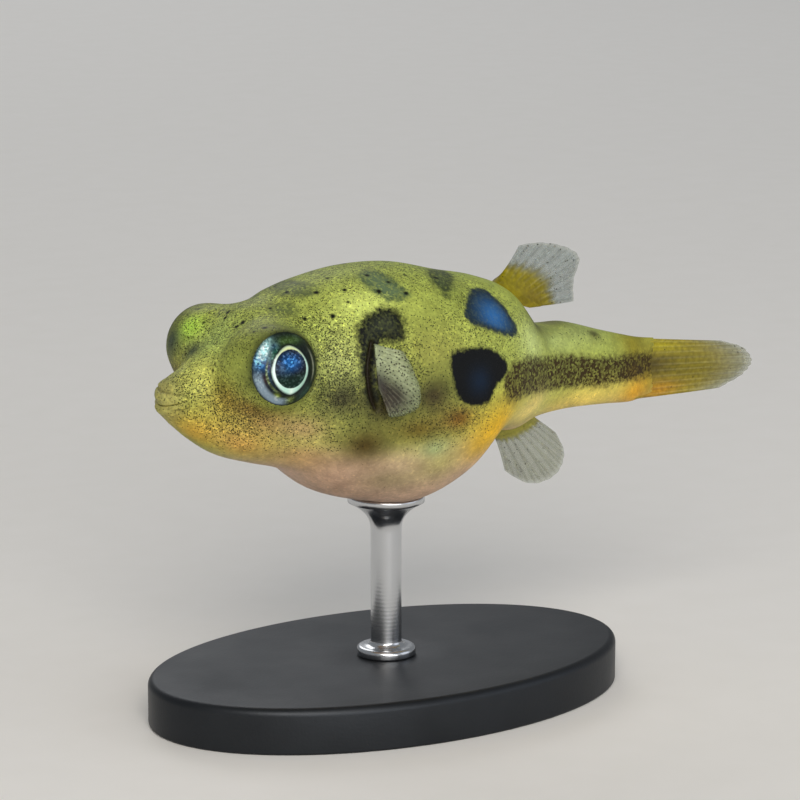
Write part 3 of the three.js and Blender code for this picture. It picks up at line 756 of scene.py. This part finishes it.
# soft patches on the iris: place tailward and up, reach, turn in degrees, colour, strength, glitter (the
# share of flakes given painted glints)
irisPatches = [
    ((-1.0, 0.15), (0.45, 0.7), 0, "#0B3350", 0.9, 0.4),        # blue front half
    ((-1.08, 0.4), (0.2, 0.26), 15, "#165CA0", 0.95, 0.8),      # deep blue in it
    ((-0.85, 0.2), (0.1, 0.14), 10, "#2C1B44", 0.85, 0.2),      # violet by the pupil
    ((-0.84, 0.84), (0.14, 0.42), -34, "#B4EEF2", 1.0, 1.0),    # cyan glitter, with a painted highlight on it
    ((-0.47, 0.95), (0.12, 0.22), -50, "#12305A", 0.8, 0.3),    # dark blue beside it
    ((-0.55, 0.55), (0.16, 0.3), -25, "#1F5E44", 0.7, 0.9),     # green inside it
    ((0.14, 1.05), (0.7, 0.16), 0, "#3A5220", 0.75, 0.3),       # green brow
    ((-0.98, -0.3), (0.12, 0.3), 8, "#2A1710", 0.9, 0.1),       # brown streak
    ((-0.8, -0.75), (0.1, 0.28), 38, "#100D0A", 0.9, 0.05),     # black streak under it
    ((-0.5, -0.98), (0.1, 0.14), 40, "#8FA23E", 0.8, 0.5),      # yellow green
    ((0.05, -1.15), (0.2, 0.14), 5, "#5D6A26", 0.7, 0.6),       # olive at the bottom
    ((0.75, -0.95), (0.36, 0.22), 40, "#2C4A42", 0.6, 0.2),     # grey green behind it
    ((1.24, -0.2), (0.13, 0.57), 0, "#14261C", 0.7, 0.1),       # dark rear edge
]


def eyeSurface(side):
    # rows of points from the middle of the eye's front out to its rim, then round its back
    frontRadius = (eye["opening"] ** 2 + eye["frontDepth"] ** 2) / (2 * eye["frontDepth"])
    ring = np.linspace(0.004, eye["opening"] - 0.004, eyeball["rings"])
    out = eye["radius"] - frontRadius + np.sqrt(frontRadius ** 2 - ring ** 2)
    turn = np.linspace(0, math.pi / 2 - 0.01, eyeball["backRings"] + 1)[1:]
    out = np.concatenate([out, out[-1] - ring[-1] * np.sin(turn)])[:, None]
    ring = np.concatenate([ring, ring[-1] * np.cos(turn)])[:, None]
    around = np.linspace(0, 2 * math.pi, eyeball["columns"], endpoint=False)[None, :]
    tailward, up = ring * np.cos(around), ring * np.sin(around)
    centre, gazing, upward = eyeAxes(side)
    points = centre + out[..., None] * gazing + up[..., None] * upward
    points[..., 0] += tailward
    isFront = (np.arange(len(ring)) < eyeball["rings"])[:, None]
    return points, tailward, up, isFront


def irisMarks(tailward, up):
    away = np.hypot(tailward, up)
    colour = np.ones(away.shape + (4,)) * np.array(linear("#0B1512"))
    glitter = np.full(away.shape, 0.06)

    def over(share, hexColour):
        nonlocal colour
        colour = mixedIn(colour, hexColour, share)

    for (midA, midB), (reachA, reachB), tilt, hexColour, strength, sparkle in irisPatches:
        tilt = math.radians(tilt)
        a = (tailward - midA) * math.cos(tilt) + (up - midB) * math.sin(tilt)
        b = (up - midB) * math.cos(tilt) - (tailward - midA) * math.sin(tilt)
        share = strength * np.exp(-(a / reachA) ** 2 - (b / reachB) ** 2)
        over(share, hexColour)
        glitter = glitter + (sparkle - glitter) * share

    # a grey-blue crescent under the front of the rim, a line of bright grains in front of the pupil and a
    # thin grey line behind it
    turn = np.degrees(np.arctan2(up, tailward)) % 360
    lowerFront = smoothStep(170, 200, turn) * smoothStep(276, 250, turn)
    over(0.85 * lowerFront * smoothStep(1.02, 1.16, away) * smoothStep(1.37, 1.3, away), "#8296A5")
    front = smoothStep(140, 165, turn) * smoothStep(250, 225, turn)
    line = front * smoothStep(0.06, 0.01, np.abs(away - 0.93))
    over(0.5 * line, "#5E6A34")
    glitter = np.maximum(glitter, 0.8 * line)
    rear = smoothStep(0.7, 0.95, tailward) * smoothStep(0.75, 0.2, np.abs(up - 0.05))
    over(0.6 * rear * smoothStep(0.07, 0.02, np.abs(np.hypot(tailward, up * 0.9) - 1.14)), "#8F9384")
    # painted shade round the edge of the ball, where the skin closes over it
    over(smoothStep(1.26, 1.37, away) * 0.75, "#161C12")

    # pale pointed ring round the pupil, thicker below
    tailward, up = tailward - eyeball["gaze"][0], up - eyeball["gaze"][1]
    (halfWidth, halfHeight), power = eyeball["ring"], eyeball["ringPower"]
    lowered = np.abs(up + eyeball["ringDrop"])
    pointed = (np.abs(tailward) / halfWidth) ** power + (lowered / halfHeight) ** power
    over(0.9 * smoothStep(1.35, 1.05, pointed), "#050B0D")
    ring = smoothStep(1.12, 0.9, pointed)
    over(ring, "#B4DACC")
    over(ring * smoothStep(-0.3, -0.75, tailward), "#DDF3EE")
    over(ring * smoothStep(0.3, 0.75, up), "#C6D09A")
    over(ring * smoothStep(-0.5, -0.8, up) * smoothStep(0.2, -0.1, np.abs(tailward)), "#E2F2E4")
    over(ring * 0.5 * smoothStep(0.1, 0.5, tailward) * smoothStep(0.0, -0.4, up), "#86AC92")
    glitter = glitter * (1 - ring)

    # pupil: nearly black, with a painted blue reflection in its upper part and painted sparkle
    pupilWidth, pupilHeight = eyeball["pupil"]
    pupil = smoothStep(1.03, 0.97, np.hypot(tailward / pupilWidth, up / pupilHeight))
    over(pupil, "#02070F")
    over(pupil * np.exp(-((tailward + 0.02) / 0.36) ** 2 - ((up - 0.24) / 0.26) ** 2), "#17599E")
    over(pupil * np.exp(-((tailward + 0.3) / 0.25) ** 2 - ((up + 0.02) / 0.25) ** 2) * 0.6, "#0C3A5C")
    over(pupil * smoothStep(-0.05, -0.4, up) * 0.8, "#06241A")
    glitter = np.maximum(glitter, pupil * (0.35 + 0.35 * smoothStep(-0.1, 0.35, up)))
    return {"iris": colour, "glitter": glitter}, ring - pupil


def irisMaterial():
    # iris: guanine crystals over a black layer, so it glitters in small flakes like a metal foil; the flakes'
    # glints are painted highlights in its colour, and the clear wet front over it gives the sharp shine
    material, tree, place = newMaterial("crystalIris")
    colour = addNode(tree, "Attribute", attribute_name="iris")
    glitter = addNode(tree, "Attribute", attribute_name="glitter")
    flakes = addNode(tree, "TexVoronoi", {"Vector": place, "Scale": 14000.0})   # flakes 0.07 mm across
    chance = addNode(tree, "SeparateColor", {"Color": flakes.outputs["Color"]})
    dull = addNode(tree, "MapRange", {"Value": chance.outputs[1], "To Min": 0.15, "To Max": 1.4})
    dulled = addNode(tree, "Mix", {0: 1.0, 6: colour, 7: dull}, **multiplied)
    uneven = addNode(tree, "Mix", {0: glitter, 6: colour, 7: dulled}, **asColour)
    # painted highlights: where the glitter is strong, chosen flakes are made brighter and paler in the colour
    # itself
    bright = addNode(tree, "MapRange", {"Value": chance, "From Min": 0.5, "From Max": 1.0, "To Max": 1.0})
    paintedGlint = addNode(tree, "Math", {0: bright, 1: glitter}, **times)
    brighter = addNode(tree, "Mix", {0: 1.0, 6: colour, 7: (5.0, 5.0, 4.4, 1)}, **multiplied)
    lightened = addNode(tree, "Mix", {0: 0.12, 6: brighter, 7: linear("#DFF4FA")}, **asColour,
                        clamp_result=True)
    lit = addNode(tree, "Mix", {0: paintedGlint, 6: uneven, 7: lightened}, **asColour)
    shader = addNode(tree, "BsdfPrincipled", {
        "Base Color": lit, "Roughness": 0.5, "IOR": 1.45, "Specular IOR Level": 0.1,
        "Coat Weight": 0.28, "Coat Roughness": 0.05, "Coat IOR": 1.376,
    })
    addNode(tree, "OutputMaterial", {"Surface": shader})
    return material


def makeEyes():
    iris = irisMaterial()
    for side, name in ((-1, "left"), (1, "right")):
        points, tailward, up, isFront = eyeSurface(side)
        marks, raised = irisMarks(tailward, up)
        points += (eyeball["ringRaised"] * raised * isFront)[..., None] * eyeAxes(side)[1]
        dressed(gridMesh("eyeball_" + name, points, marks), iris, "eye", "eye_" + name)


makeEyes()
print("eyes in")


# fins: a clear skin over soft branching rays, on the same roots and rays as the solid fins

fins = {
    "dorsal_fin": {
        "root": [(15.08, 2.9), (17.0, 1.62)],
        "rays": [(40, 1.75), (33, 2.55), (27, 3.05), (21, 3.15), (12, 2.5), (-2, 2.0)],
        "count": 9, "sway": 0.35, "ripple": 0.16,
        "rootColour": "#7A7000", "farColour": "#727D7E", "yellowTo": 0.45, "cover": (1.0, 0.34),
        "patches": [((0.75, 0.1), (0.3, 0.16), "#6B5A10", 0.6)],                # brown rear of the root
    },
    "anal_fin": {
        "root": [(14.9, -3.15), (16.85, -2.8)],
        "rays": [(-64, 2.0), (-57, 3.0), (-49, 3.25), (-41, 3.1), (-36, 2.65), (-34, 1.6)],
        "count": 9, "sway": 0.3, "ripple": 0.14,
        "rootColour": "#8F8A34", "farColour": "#7B7F6C", "yellowTo": 0.2, "cover": (0.95, 0.34),
    },
    "caudal_fin": {
        "root": [(21.6, -0.15), (21.6, -2.66)],
        "rays": [(-8, 4.65), (-5, 5.6), (-4.3, 6.0), (-3.3, 5.95), (-2.7, 5.5), (-1, 4.5)],
        "count": 10, "sway": 0.15, "ripple": 0.1, "rootThickness": 0.4,
        "rootColour": "#857A28", "farColour": "#888C7C", "yellowTo": 0.88, "cover": (0.97, 0.5),
        "rayTint": 0.06, "streaks": 0.12,
        "patches": [
            ((0.45, 0.18), (0.22, 0.24), "#3C2F14", 0.9),       # dark streak along its root
            ((0.88, 0.25), (0.16, 0.2), "#B07E1C", 0.85),       # ochre low in front
            ((0.5, 0.5), (0.3, 0.3), "#6C6316", 0.75),          # olive middle
            ((0.12, 0.25), (0.12, 0.22), "#A0961A", 0.85),      # yellow upper rays
        ],
    },
    "pectoral_fin": {
        "root": [(7.45, 1.75), (7.3, 0.0)],
        "rays": [(-14, 0.95), (-24, 1.4), (-33, 1.85), (-41, 1.95), (-52, 1.5), (-72, 0.9)],
        "count": 14, "sway": 0.15, "ripple": 0.03, "rootThickness": 0.2, "rootDepth": 0.12,
        "lean": 18, "offset": (3.5, 3.9), "lift": 0.22,         # it stands out from the side of the body
        "rootColour": "#8E9872", "farColour": "#7E8A62", "yellowTo": 0.9, "cover": (0.97, 0.4),
        "streaks": 0.1,
        "patches": [
            ((0.3, 0.4), (0.3, 0.5), "#98A27C", 0.8),           # pale upper rays
            ((0.8, 0.15), (0.3, 0.55), "#130C07", 1.0),         # black lower root
            ((1.0, 0.5), (0.3, 0.45), "#32271A", 0.95),         # brown lower edge
            ((0.72, 0.5), (0.2, 0.3), "#241A10", 0.9),          # and between them
        ],
    },
}
# what a fin has unless it says otherwise
finBuild = {
    "membrane": 0.035,          # mm thick between the rays
    "rayWidth": 0.2,            # share of the space between two rays
    "rayHeight": 0.02,          # how far a ray stands out of the membrane on each side
    "branchesFrom": 0.45,       # share of the ray's length
    "fork": 0.24, "fleshy": 0.35, "scallop": 0.01,
    "rootDepth": 0.5, "rootThickness": 0.5,
    "lean": 0, "offset": (0, 0), "lift": 0,
    "rayTint": 0.08, "streaks": 0.15, "patches": [],
    "rows": 70, "columnsPerRay": 18,
}


def finMesh(name, kind, side=0):
    fin = {**finBuild, **fins[kind]}
    count, rows, rootDepth = fin["count"], fin["rows"], fin["rootDepth"]
    u = np.linspace(0, 1, count * fin["columnsPerRay"] + 1)[None, :]
    v = np.linspace(0, 1, rows)[:, None]
    rays = np.array(fin["rays"], float)
    place = u * (len(rays) - 1)
    angle = np.radians(through(rays[:, 0], place))
    length = through(rays[:, 1], place)

    # rays stand in the middle of their strips and fork towards the edge
    strip = (u * count) % 1 - 0.5
    fork = fin["fork"] * smoothStep(fin["branchesFrom"], 1.0, v)
    width = fin["rayWidth"] * (1 - 0.55 * v)
    ray = np.maximum(np.exp(-((strip - fork) / width) ** 2), np.exp(-((strip + fork) / width) ** 2))
    length = length * (1 - fin["scallop"] * (0.5 - 0.5 * np.cos(2 * math.pi * strip)) * v)

    # the middle of the membrane, from inside the body out along each ray
    along = -rootDepth + v * (length + rootDepth)
    share = np.clip(along / length, 0, 1)
    lean = side * math.radians(fin["lean"])
    straightBack = np.array([math.cos(lean), math.sin(lean), 0])
    across = np.array([-math.sin(lean), math.cos(lean), 0]) * (side or 1)
    (frontAt, frontLevel), (rearAt, rearLevel) = fin["root"]
    frontOffset, rearOffset = fin["offset"]
    start = np.stack([frontAt + (rearAt - frontAt) * u, side * (frontOffset + (rearOffset - frontOffset) * u),
                      frontLevel + (rearLevel - frontLevel) * u], -1)
    bow = fin["sway"] * share ** 2 + fin["ripple"] * np.sin(2 * math.pi * (1.3 * u + 0.15)) * share
    bow = bow + fin["lift"] * smoothStep(-0.1, 0.3, along / length)
    middle = (start + (along * np.cos(angle))[..., None] * straightBack
              + (along * np.sin(angle))[..., None] * np.array([0, 0, 1.0]) + bow[..., None] * across)

    # its thickness: fleshy at the root, raised on the rays and closed at the edges
    root = np.clip(1 - share / fin["fleshy"], 0, 1) ** 2
    relief = fin["rayHeight"] * ray * (1 - 0.75 * v) * smoothStep(0.0, 0.25, share)
    closing = np.sqrt(np.clip((1 - v) / 0.04, 0, 1))
    sides = np.sqrt(np.clip(np.minimum(u, 1 - u) / 0.03, 0, 1))
    half = (fin["membrane"] / 2 + relief + root * fin["rootThickness"] / 2) * closing * sides + 0.001
    front, back = middle + half[..., None] * across, middle - half[..., None] * across
    points = np.concatenate([front, back[:, ::-1]], 1)

    marks = finMarks(fin, ray, u + 0 * v, share)
    marks = {key: np.concatenate([value, value[:, ::-1]], 1) for key, value in marks.items()}
    return gridMesh(name, points, marks, sheet=True)


def finMarks(fin, ray, u, share):
    # yellow at the root, clear towards the edge, with patches and streaks that follow the rays
    random = np.random.default_rng(11)
    shades = random.uniform(-1, 1, 4 * fin["count"] + 1)
    streak = np.interp(u, np.linspace(0, 1, len(shades)), shades) * smoothStep(0.0, 0.3, share)
    far = smoothStep(fin["yellowTo"] * 0.6, fin["yellowTo"] * 1.3, share + 0.05 * streak)
    colour = np.array(linear(fin["rootColour"])) * (1 - far[..., None])
    colour = colour + np.array(linear(fin["farColour"])) * far[..., None]
    for (midU, midShare), (reachU, reachShare), hexColour, strength in fin["patches"]:
        near = strength * np.exp(-((u - midU) / reachU) ** 2 - ((share - midShare) / reachShare) ** 2)
        colour = mixedIn(colour, hexColour, near)
    colour = mixedIn(colour, "#D3D3B4", fin["rayTint"] * ray * smoothStep(0.05, 0.35, share))
    between = 0.35 * (1 - ray) * smoothStep(0.1, 0.4, share)
    colour[..., :3] *= (1 + fin["streaks"] * (streak - between))[..., None]
    nearCover, farCover = fin["cover"]
    cover = nearCover + (farCover - nearCover) * far + 0.18 * ray * far
    cover = cover * (1 - 0.55 * smoothStep(0.9, 1.0, share))
    return {"tint": colour, "cover": cover}


def finMaterial(name, speckle):
    # fin membrane: a clear wet film, tinted by pigment at its root and stiffened by paler rays; black
    # pigment cells 0.07 mm across are scattered in it
    material, tree, place = newMaterial(name)
    grains = addNode(tree, "TexNoise", {"Vector": place, "Scale": 6000.0, "Detail": 3.0})
    shade = addNode(tree, "MapRange", {"Value": grains, "From Min": 0.3, "From Max": 0.7, "To Min": 0.75,
                                       "To Max": 1.25})
    tinted = addNode(tree, "Mix", {0: 1.0, 6: addNode(tree, "Attribute", attribute_name="tint"), 7: shade},
                     **multiplied)
    cells = addNode(tree, "TexVoronoi", {"Vector": place, "Scale": 11000.0})
    chance = addNode(tree, "SeparateColor", {"Color": cells.outputs["Color"]})
    present = addNode(tree, "Math", {0: chance, 1: speckle}, operation="LESS_THAN")
    cell = addNode(tree, "MapRange", {"Value": cells, "From Min": 0.42, "From Max": 0.26}, **smoothly)
    dot = addNode(tree, "Math", {0: cell, 1: present}, **times)
    dotted = addNode(tree, "Mix", {0: dot, 6: tinted, 7: linear("#211D12")}, **asColour)
    shader = addNode(tree, "BsdfPrincipled", {
        "Base Color": dotted, "Roughness": 0.4, "IOR": 1.38, "Specular IOR Level": 0.35,
        "Subsurface Weight": 0.15, "Subsurface Radius": (1.0, 0.8, 0.5), "Subsurface Scale": 0.0002,
    })
    clear = addNode(tree, "BsdfTransparent", {"Color": (0.95, 0.96, 0.93, 1)})
    cover = addNode(tree, "Math", {0: dot, 1: addNode(tree, "Attribute", attribute_name="cover")},
                    operation="MAXIMUM")
    both = addNode(tree, "MixShader", {0: cover, 1: clear, 2: shader})
    addNode(tree, "OutputMaterial", {"Surface": both})
    return material


def makeFins():
    finFilm, speckledFilm = finMaterial("finFilm", 0.03), finMaterial("speckledFinFilm", 0.7)
    for piece, node in (("dorsal_fin_film", "dorsal_fin"), ("anal_fin_film", "anal_fin"),
                        ("tail_fin_film", "caudal_fin")):
        dressed(finMesh(piece, node), finFilm, "fin", node)
    for side, name in ((-1, "left"), (1, "right")):
        film = finMesh("side_fin_film_" + name, "pectoral_fin", side)
        dressed(film, speckledFilm, "fin", "pectoral_fin_" + name)


makeFins()
print("fins in")


# stand: an oval plate and one turned rod that opens into a cup under the belly

plate = {
    "length": 20.0, "width": 12.5, "height": 1.8,
    "bevel": 0.3, "underBevel": 0.12,            # rounds of its upper and lower edge
    "bore": 0.7, "boreDepth": 1.2, "boreBevel": 0.08,
    "columns": 240, "underRings": 8,
}
column = {
    "rod": 0.6, "length": 6.2, "spigot": 1.1,    # radius, height over the plate, depth in its bore
    "foot": 1.15, "footHeight": 0.36, "footRound": 0.16, "edge": 0.06,
    "fillet": (0.3, 0.2),       # hollow from the foot up to the rod, out and up
    "cup": 1.5, "cupHeight": 1.3, "cupWall": 0.5,
    "joint": 0.005, "seat": 0.015,               # gaps over the plate and under the skin
    "columns": 120,
}


def roundedCorner(inner, outer, low, high, turnsIn, steps=8):
    # a quarter round between two places on a profile, as radius and height
    turns = np.linspace(0, math.pi / 2, steps + 1)
    if turnsIn:
        return [(inner + (outer - inner) * math.cos(t), low + (high - low) * math.sin(t)) for t in turns]
    return [(inner + (outer - inner) * math.sin(t), high - (high - low) * math.cos(t)) for t in turns]


def turned(profile, columns, centre=(0.0, 0.0), stretch=(0.0, 0.0)):
    # a turned shape, drawn out to an oval by `stretch` in its two directions
    turn = np.linspace(0, 2 * math.pi, columns, endpoint=False)[None, :]
    radius, height = (np.array(profile)[:, k][:, None] for k in range(2))
    x = centre[0] + (radius + stretch[0]) * np.cos(turn)
    y = centre[1] + (radius + stretch[1]) * np.sin(turn)
    return np.stack([x, y, height + 0 * turn], -1)


def bellyHeight(x, y):
    # underside of the fish over the stand at one place, in the fish's own millimetres
    table = np.array(bodySections)
    places = np.linspace(0, len(table) - 1, 400)
    at = through(table[:, 0], places)
    under, half, widest = (np.interp(x, at, through(table[:, k], places)) for k in (2, 3, 4))
    sideways = np.clip(np.abs(y) / half, 0, 0.999)
    power = body["sectionPower"]
    return widest - (widest - under) * (1 - sideways ** power) ** (1 / power)


def satinAluminium():
    # bead-blasted, black anodised aluminium: even and matt, with a fine sparkle from its dimples
    material, tree, place = newMaterial("blastedAnodisedAluminium")
    dimples = addNode(tree, "TexNoise", {"Vector": place, "Scale": 9000.0, "Detail": 2.0})
    cloud = addNode(tree, "TexNoise", {"Vector": place, "Scale": 350.0, "Detail": 3.0})
    rough = addNode(tree, "MapRange", {"Value": cloud, "From Min": 0.3, "From Max": 0.7,
                                       "To Min": 0.42, "To Max": 0.52})
    shade = addNode(tree, "Mix", {0: cloud, 6: linear("#2C2E31"), 7: linear("#383B3F")}, **asColour)
    bump = addNode(tree, "Bump", {"Height": dimples, "Strength": 0.5, "Distance": 0.00001})
    shader = addNode(tree, "BsdfPrincipled", {"Base Color": shade, "Metallic": 0.9, "Roughness": rough,
                                              "Normal": bump})
    addNode(tree, "OutputMaterial", {"Surface": shader})
    return material


def turnedSteel():
    # turned and polished stainless steel: bright, with faint rings left by the tool every 0.1 mm
    material, tree, place = newMaterial("turnedStainlessSteel")
    rings = addNode(tree, "TexWave", {"Vector": place, "Scale": 2000.0, "Distortion": 0.3,
                                      "Detail": 1.0}, bands_direction="Z")
    smudge = addNode(tree, "TexNoise", {"Vector": place, "Scale": 700.0, "Detail": 3.0})
    rough = addNode(tree, "MapRange", {"Value": smudge, "To Min": 0.16, "To Max": 0.3})
    bump = addNode(tree, "Bump", {"Height": rings.outputs["Fac"], "Strength": 0.12, "Distance": 0.000004})
    shader = addNode(tree, "BsdfPrincipled", {"Base Color": linear("#C9CBCE"), "Metallic": 1.0,
                                              "Roughness": rough, "Normal": bump})
    addNode(tree, "OutputMaterial", {"Surface": shader})
    return material


def makePlate():
    columns, bevel, top = plate["columns"], plate["bevel"], plate["height"]
    edge, under, bore = plate["width"] / 2, plate["underBevel"], plate["bore"]
    longer = (plate["length"] - plate["width"]) / 2
    count = plate["underRings"]
    profile = [(radius, 0.0) for radius in np.linspace(0.02, edge - under, count)]
    profile += roundedCorner(edge - under, edge, 0.0, under, False, 4)
    profile += roundedCorner(edge - bevel, edge, top - bevel, top, True)
    rings = [turned(profile, columns, (standAt, 0.0), (longer, 0.0))]
    # the upper face narrows from the oval to a round hole for the rod
    mouth = bore + plate["boreBevel"]
    for share in (0.75, 0.5, 0.25, 0.0):
        ring = [(mouth + (edge - bevel - mouth) * share, top)]
        rings.append(turned(ring, columns, (standAt, 0.0), (longer * share, 0.0)))
    hole = [(bore + 0.04, top - 0.01), (bore, top - 0.06), (bore, top - plate["boreDepth"])]
    points = np.concatenate(rings + [turned(hole, columns, (standAt, 0.0))])
    # the innermost ring underneath is drawn together to the middle of the oval
    points[:count, :, 0] = standAt + (points[:count, :, 0] - standAt) * np.linspace(0.01, 1, count)[:, None]
    base = gridMesh("stand_plate", points - [0, 0, mouthHeight])
    dressed(base, satinAluminium(), "stand_base", "stand_base")


def makeColumn():
    rod, foot, cup, edge = column["rod"], column["foot"], column["cup"], column["edge"]
    top = plate["height"]
    bottom = top - column["spigot"]
    onPlate = top + column["joint"]
    onFoot = onPlate + column["footHeight"]
    cupTop = top + column["length"] + column["cupWall"]
    cupFoot = cupTop - column["cupWall"] - column["cupHeight"]
    footRound, (filletOut, filletUp) = column["footRound"], column["fillet"]
    profile = [(0.02, bottom), (rod - edge, bottom), (rod, bottom + edge), (rod, onPlate),
               (foot - 0.04, onPlate)]
    profile += roundedCorner(foot - 0.05, foot, onPlate, onPlate + edge, False, 4)
    profile += roundedCorner(foot - footRound, foot, onFoot - footRound, onFoot, True)
    profile += [(rod + filletOut * (1 - math.sin(t)), onFoot + filletUp * (1 - math.cos(t)))
                for t in np.linspace(0, math.pi / 2, 8)]
    profile += [(rod, height) for height in np.linspace(onPlate + 0.7, cupFoot, 24)]
    # the cup flares slowly at first, and ends in an upright wall under its seat
    profile += [(rod + (cup - rod) * f ** 2.2, cupFoot + column["cupHeight"] * (f ** 0.8) * 0.96)
                for f in np.linspace(0, 1, 24)[1:]]
    profile += [(cup, cupTop - 0.36), (cup - 0.02, cupTop - 0.1)]
    profile += [(radius, cupTop) for radius in np.linspace(cup - 0.1, 0.02, 12)]
    points = turned(profile, column["columns"], (standAt, 0.0)) - [0, 0, mouthHeight]
    seat = bellyHeight(points[..., 0], points[..., 1]) - column["seat"]
    points[..., 2] = np.minimum(points[..., 2], seat)
    dressed(gridMesh("stand_column", points), turnedSteel(), "stand_rod", "stand_rod")


makePlate()
makeColumn()
print("stand in")


# floor, light and room

def addFloor():
    # floor: heavy matt paper, as smooth as the eye can see at this size
    material, tree, place = newMaterial("mattPaper")
    fibres = addNode(tree, "TexNoise", {"Vector": place, "Scale": 500.0, "Detail": 4.0})
    tone = addNode(tree, "Mix", {0: fibres, 6: linear("#ECEAE6"), 7: linear("#F0EEEB")}, **asColour)
    shader = addNode(tree, "BsdfPrincipled", {"Base Color": tone, "Roughness": 0.85,
                                              "Specular IOR Level": 0.2})
    addNode(tree, "OutputMaterial", {"Surface": shader})
    bpy.ops.mesh.primitive_plane_add(size=4)
    floor = bpy.context.object
    floor.name = "floor"
    floor.data.materials.append(material)


lights = {
    # place in metres from the middle of the stand, size, watts, colour
    "key": ((-0.15, -0.26, 0.2), 0.22, 0.8, "#FFF8EE"),
    "low": ((-0.04, -0.34, 0.035), 0.26, 0.5, "#FFFFFF"),
    "fill": ((0.3, -0.26, 0.12), 0.34, 0.26, "#EEF4FF"),
    "rim": ((0.1, 0.3, 0.22), 0.2, 0.2, "#FFFFFF"),
}


def addLights():
    for name, (place, size, watts, colour) in lights.items():
        lamp = bpy.data.lights.new(name, "AREA")
        lamp.shape = "DISK"
        lamp.size = size
        lamp.energy = watts
        lamp.color = linear(colour)[:3]
        made = bpy.data.objects.new(name, lamp)
        made.location = place
        made.rotation_euler = (Vector(place) - Vector((0, 0, 0.012))).to_track_quat("Z", "Y").to_euler()
        bpy.context.scene.collection.objects.link(made)
    world = bpy.data.worlds.new("room")
    bpy.context.scene.world = world
    world.use_nodes = True
    background = world.node_tree.nodes["Background"]
    background.inputs["Color"].default_value = linear("#E4E8EC")
    background.inputs["Strength"].default_value = 0.34


addFloor()
addLights()
bpy.context.scene.view_settings.view_transform = "Standard"
print("floor and lights set")
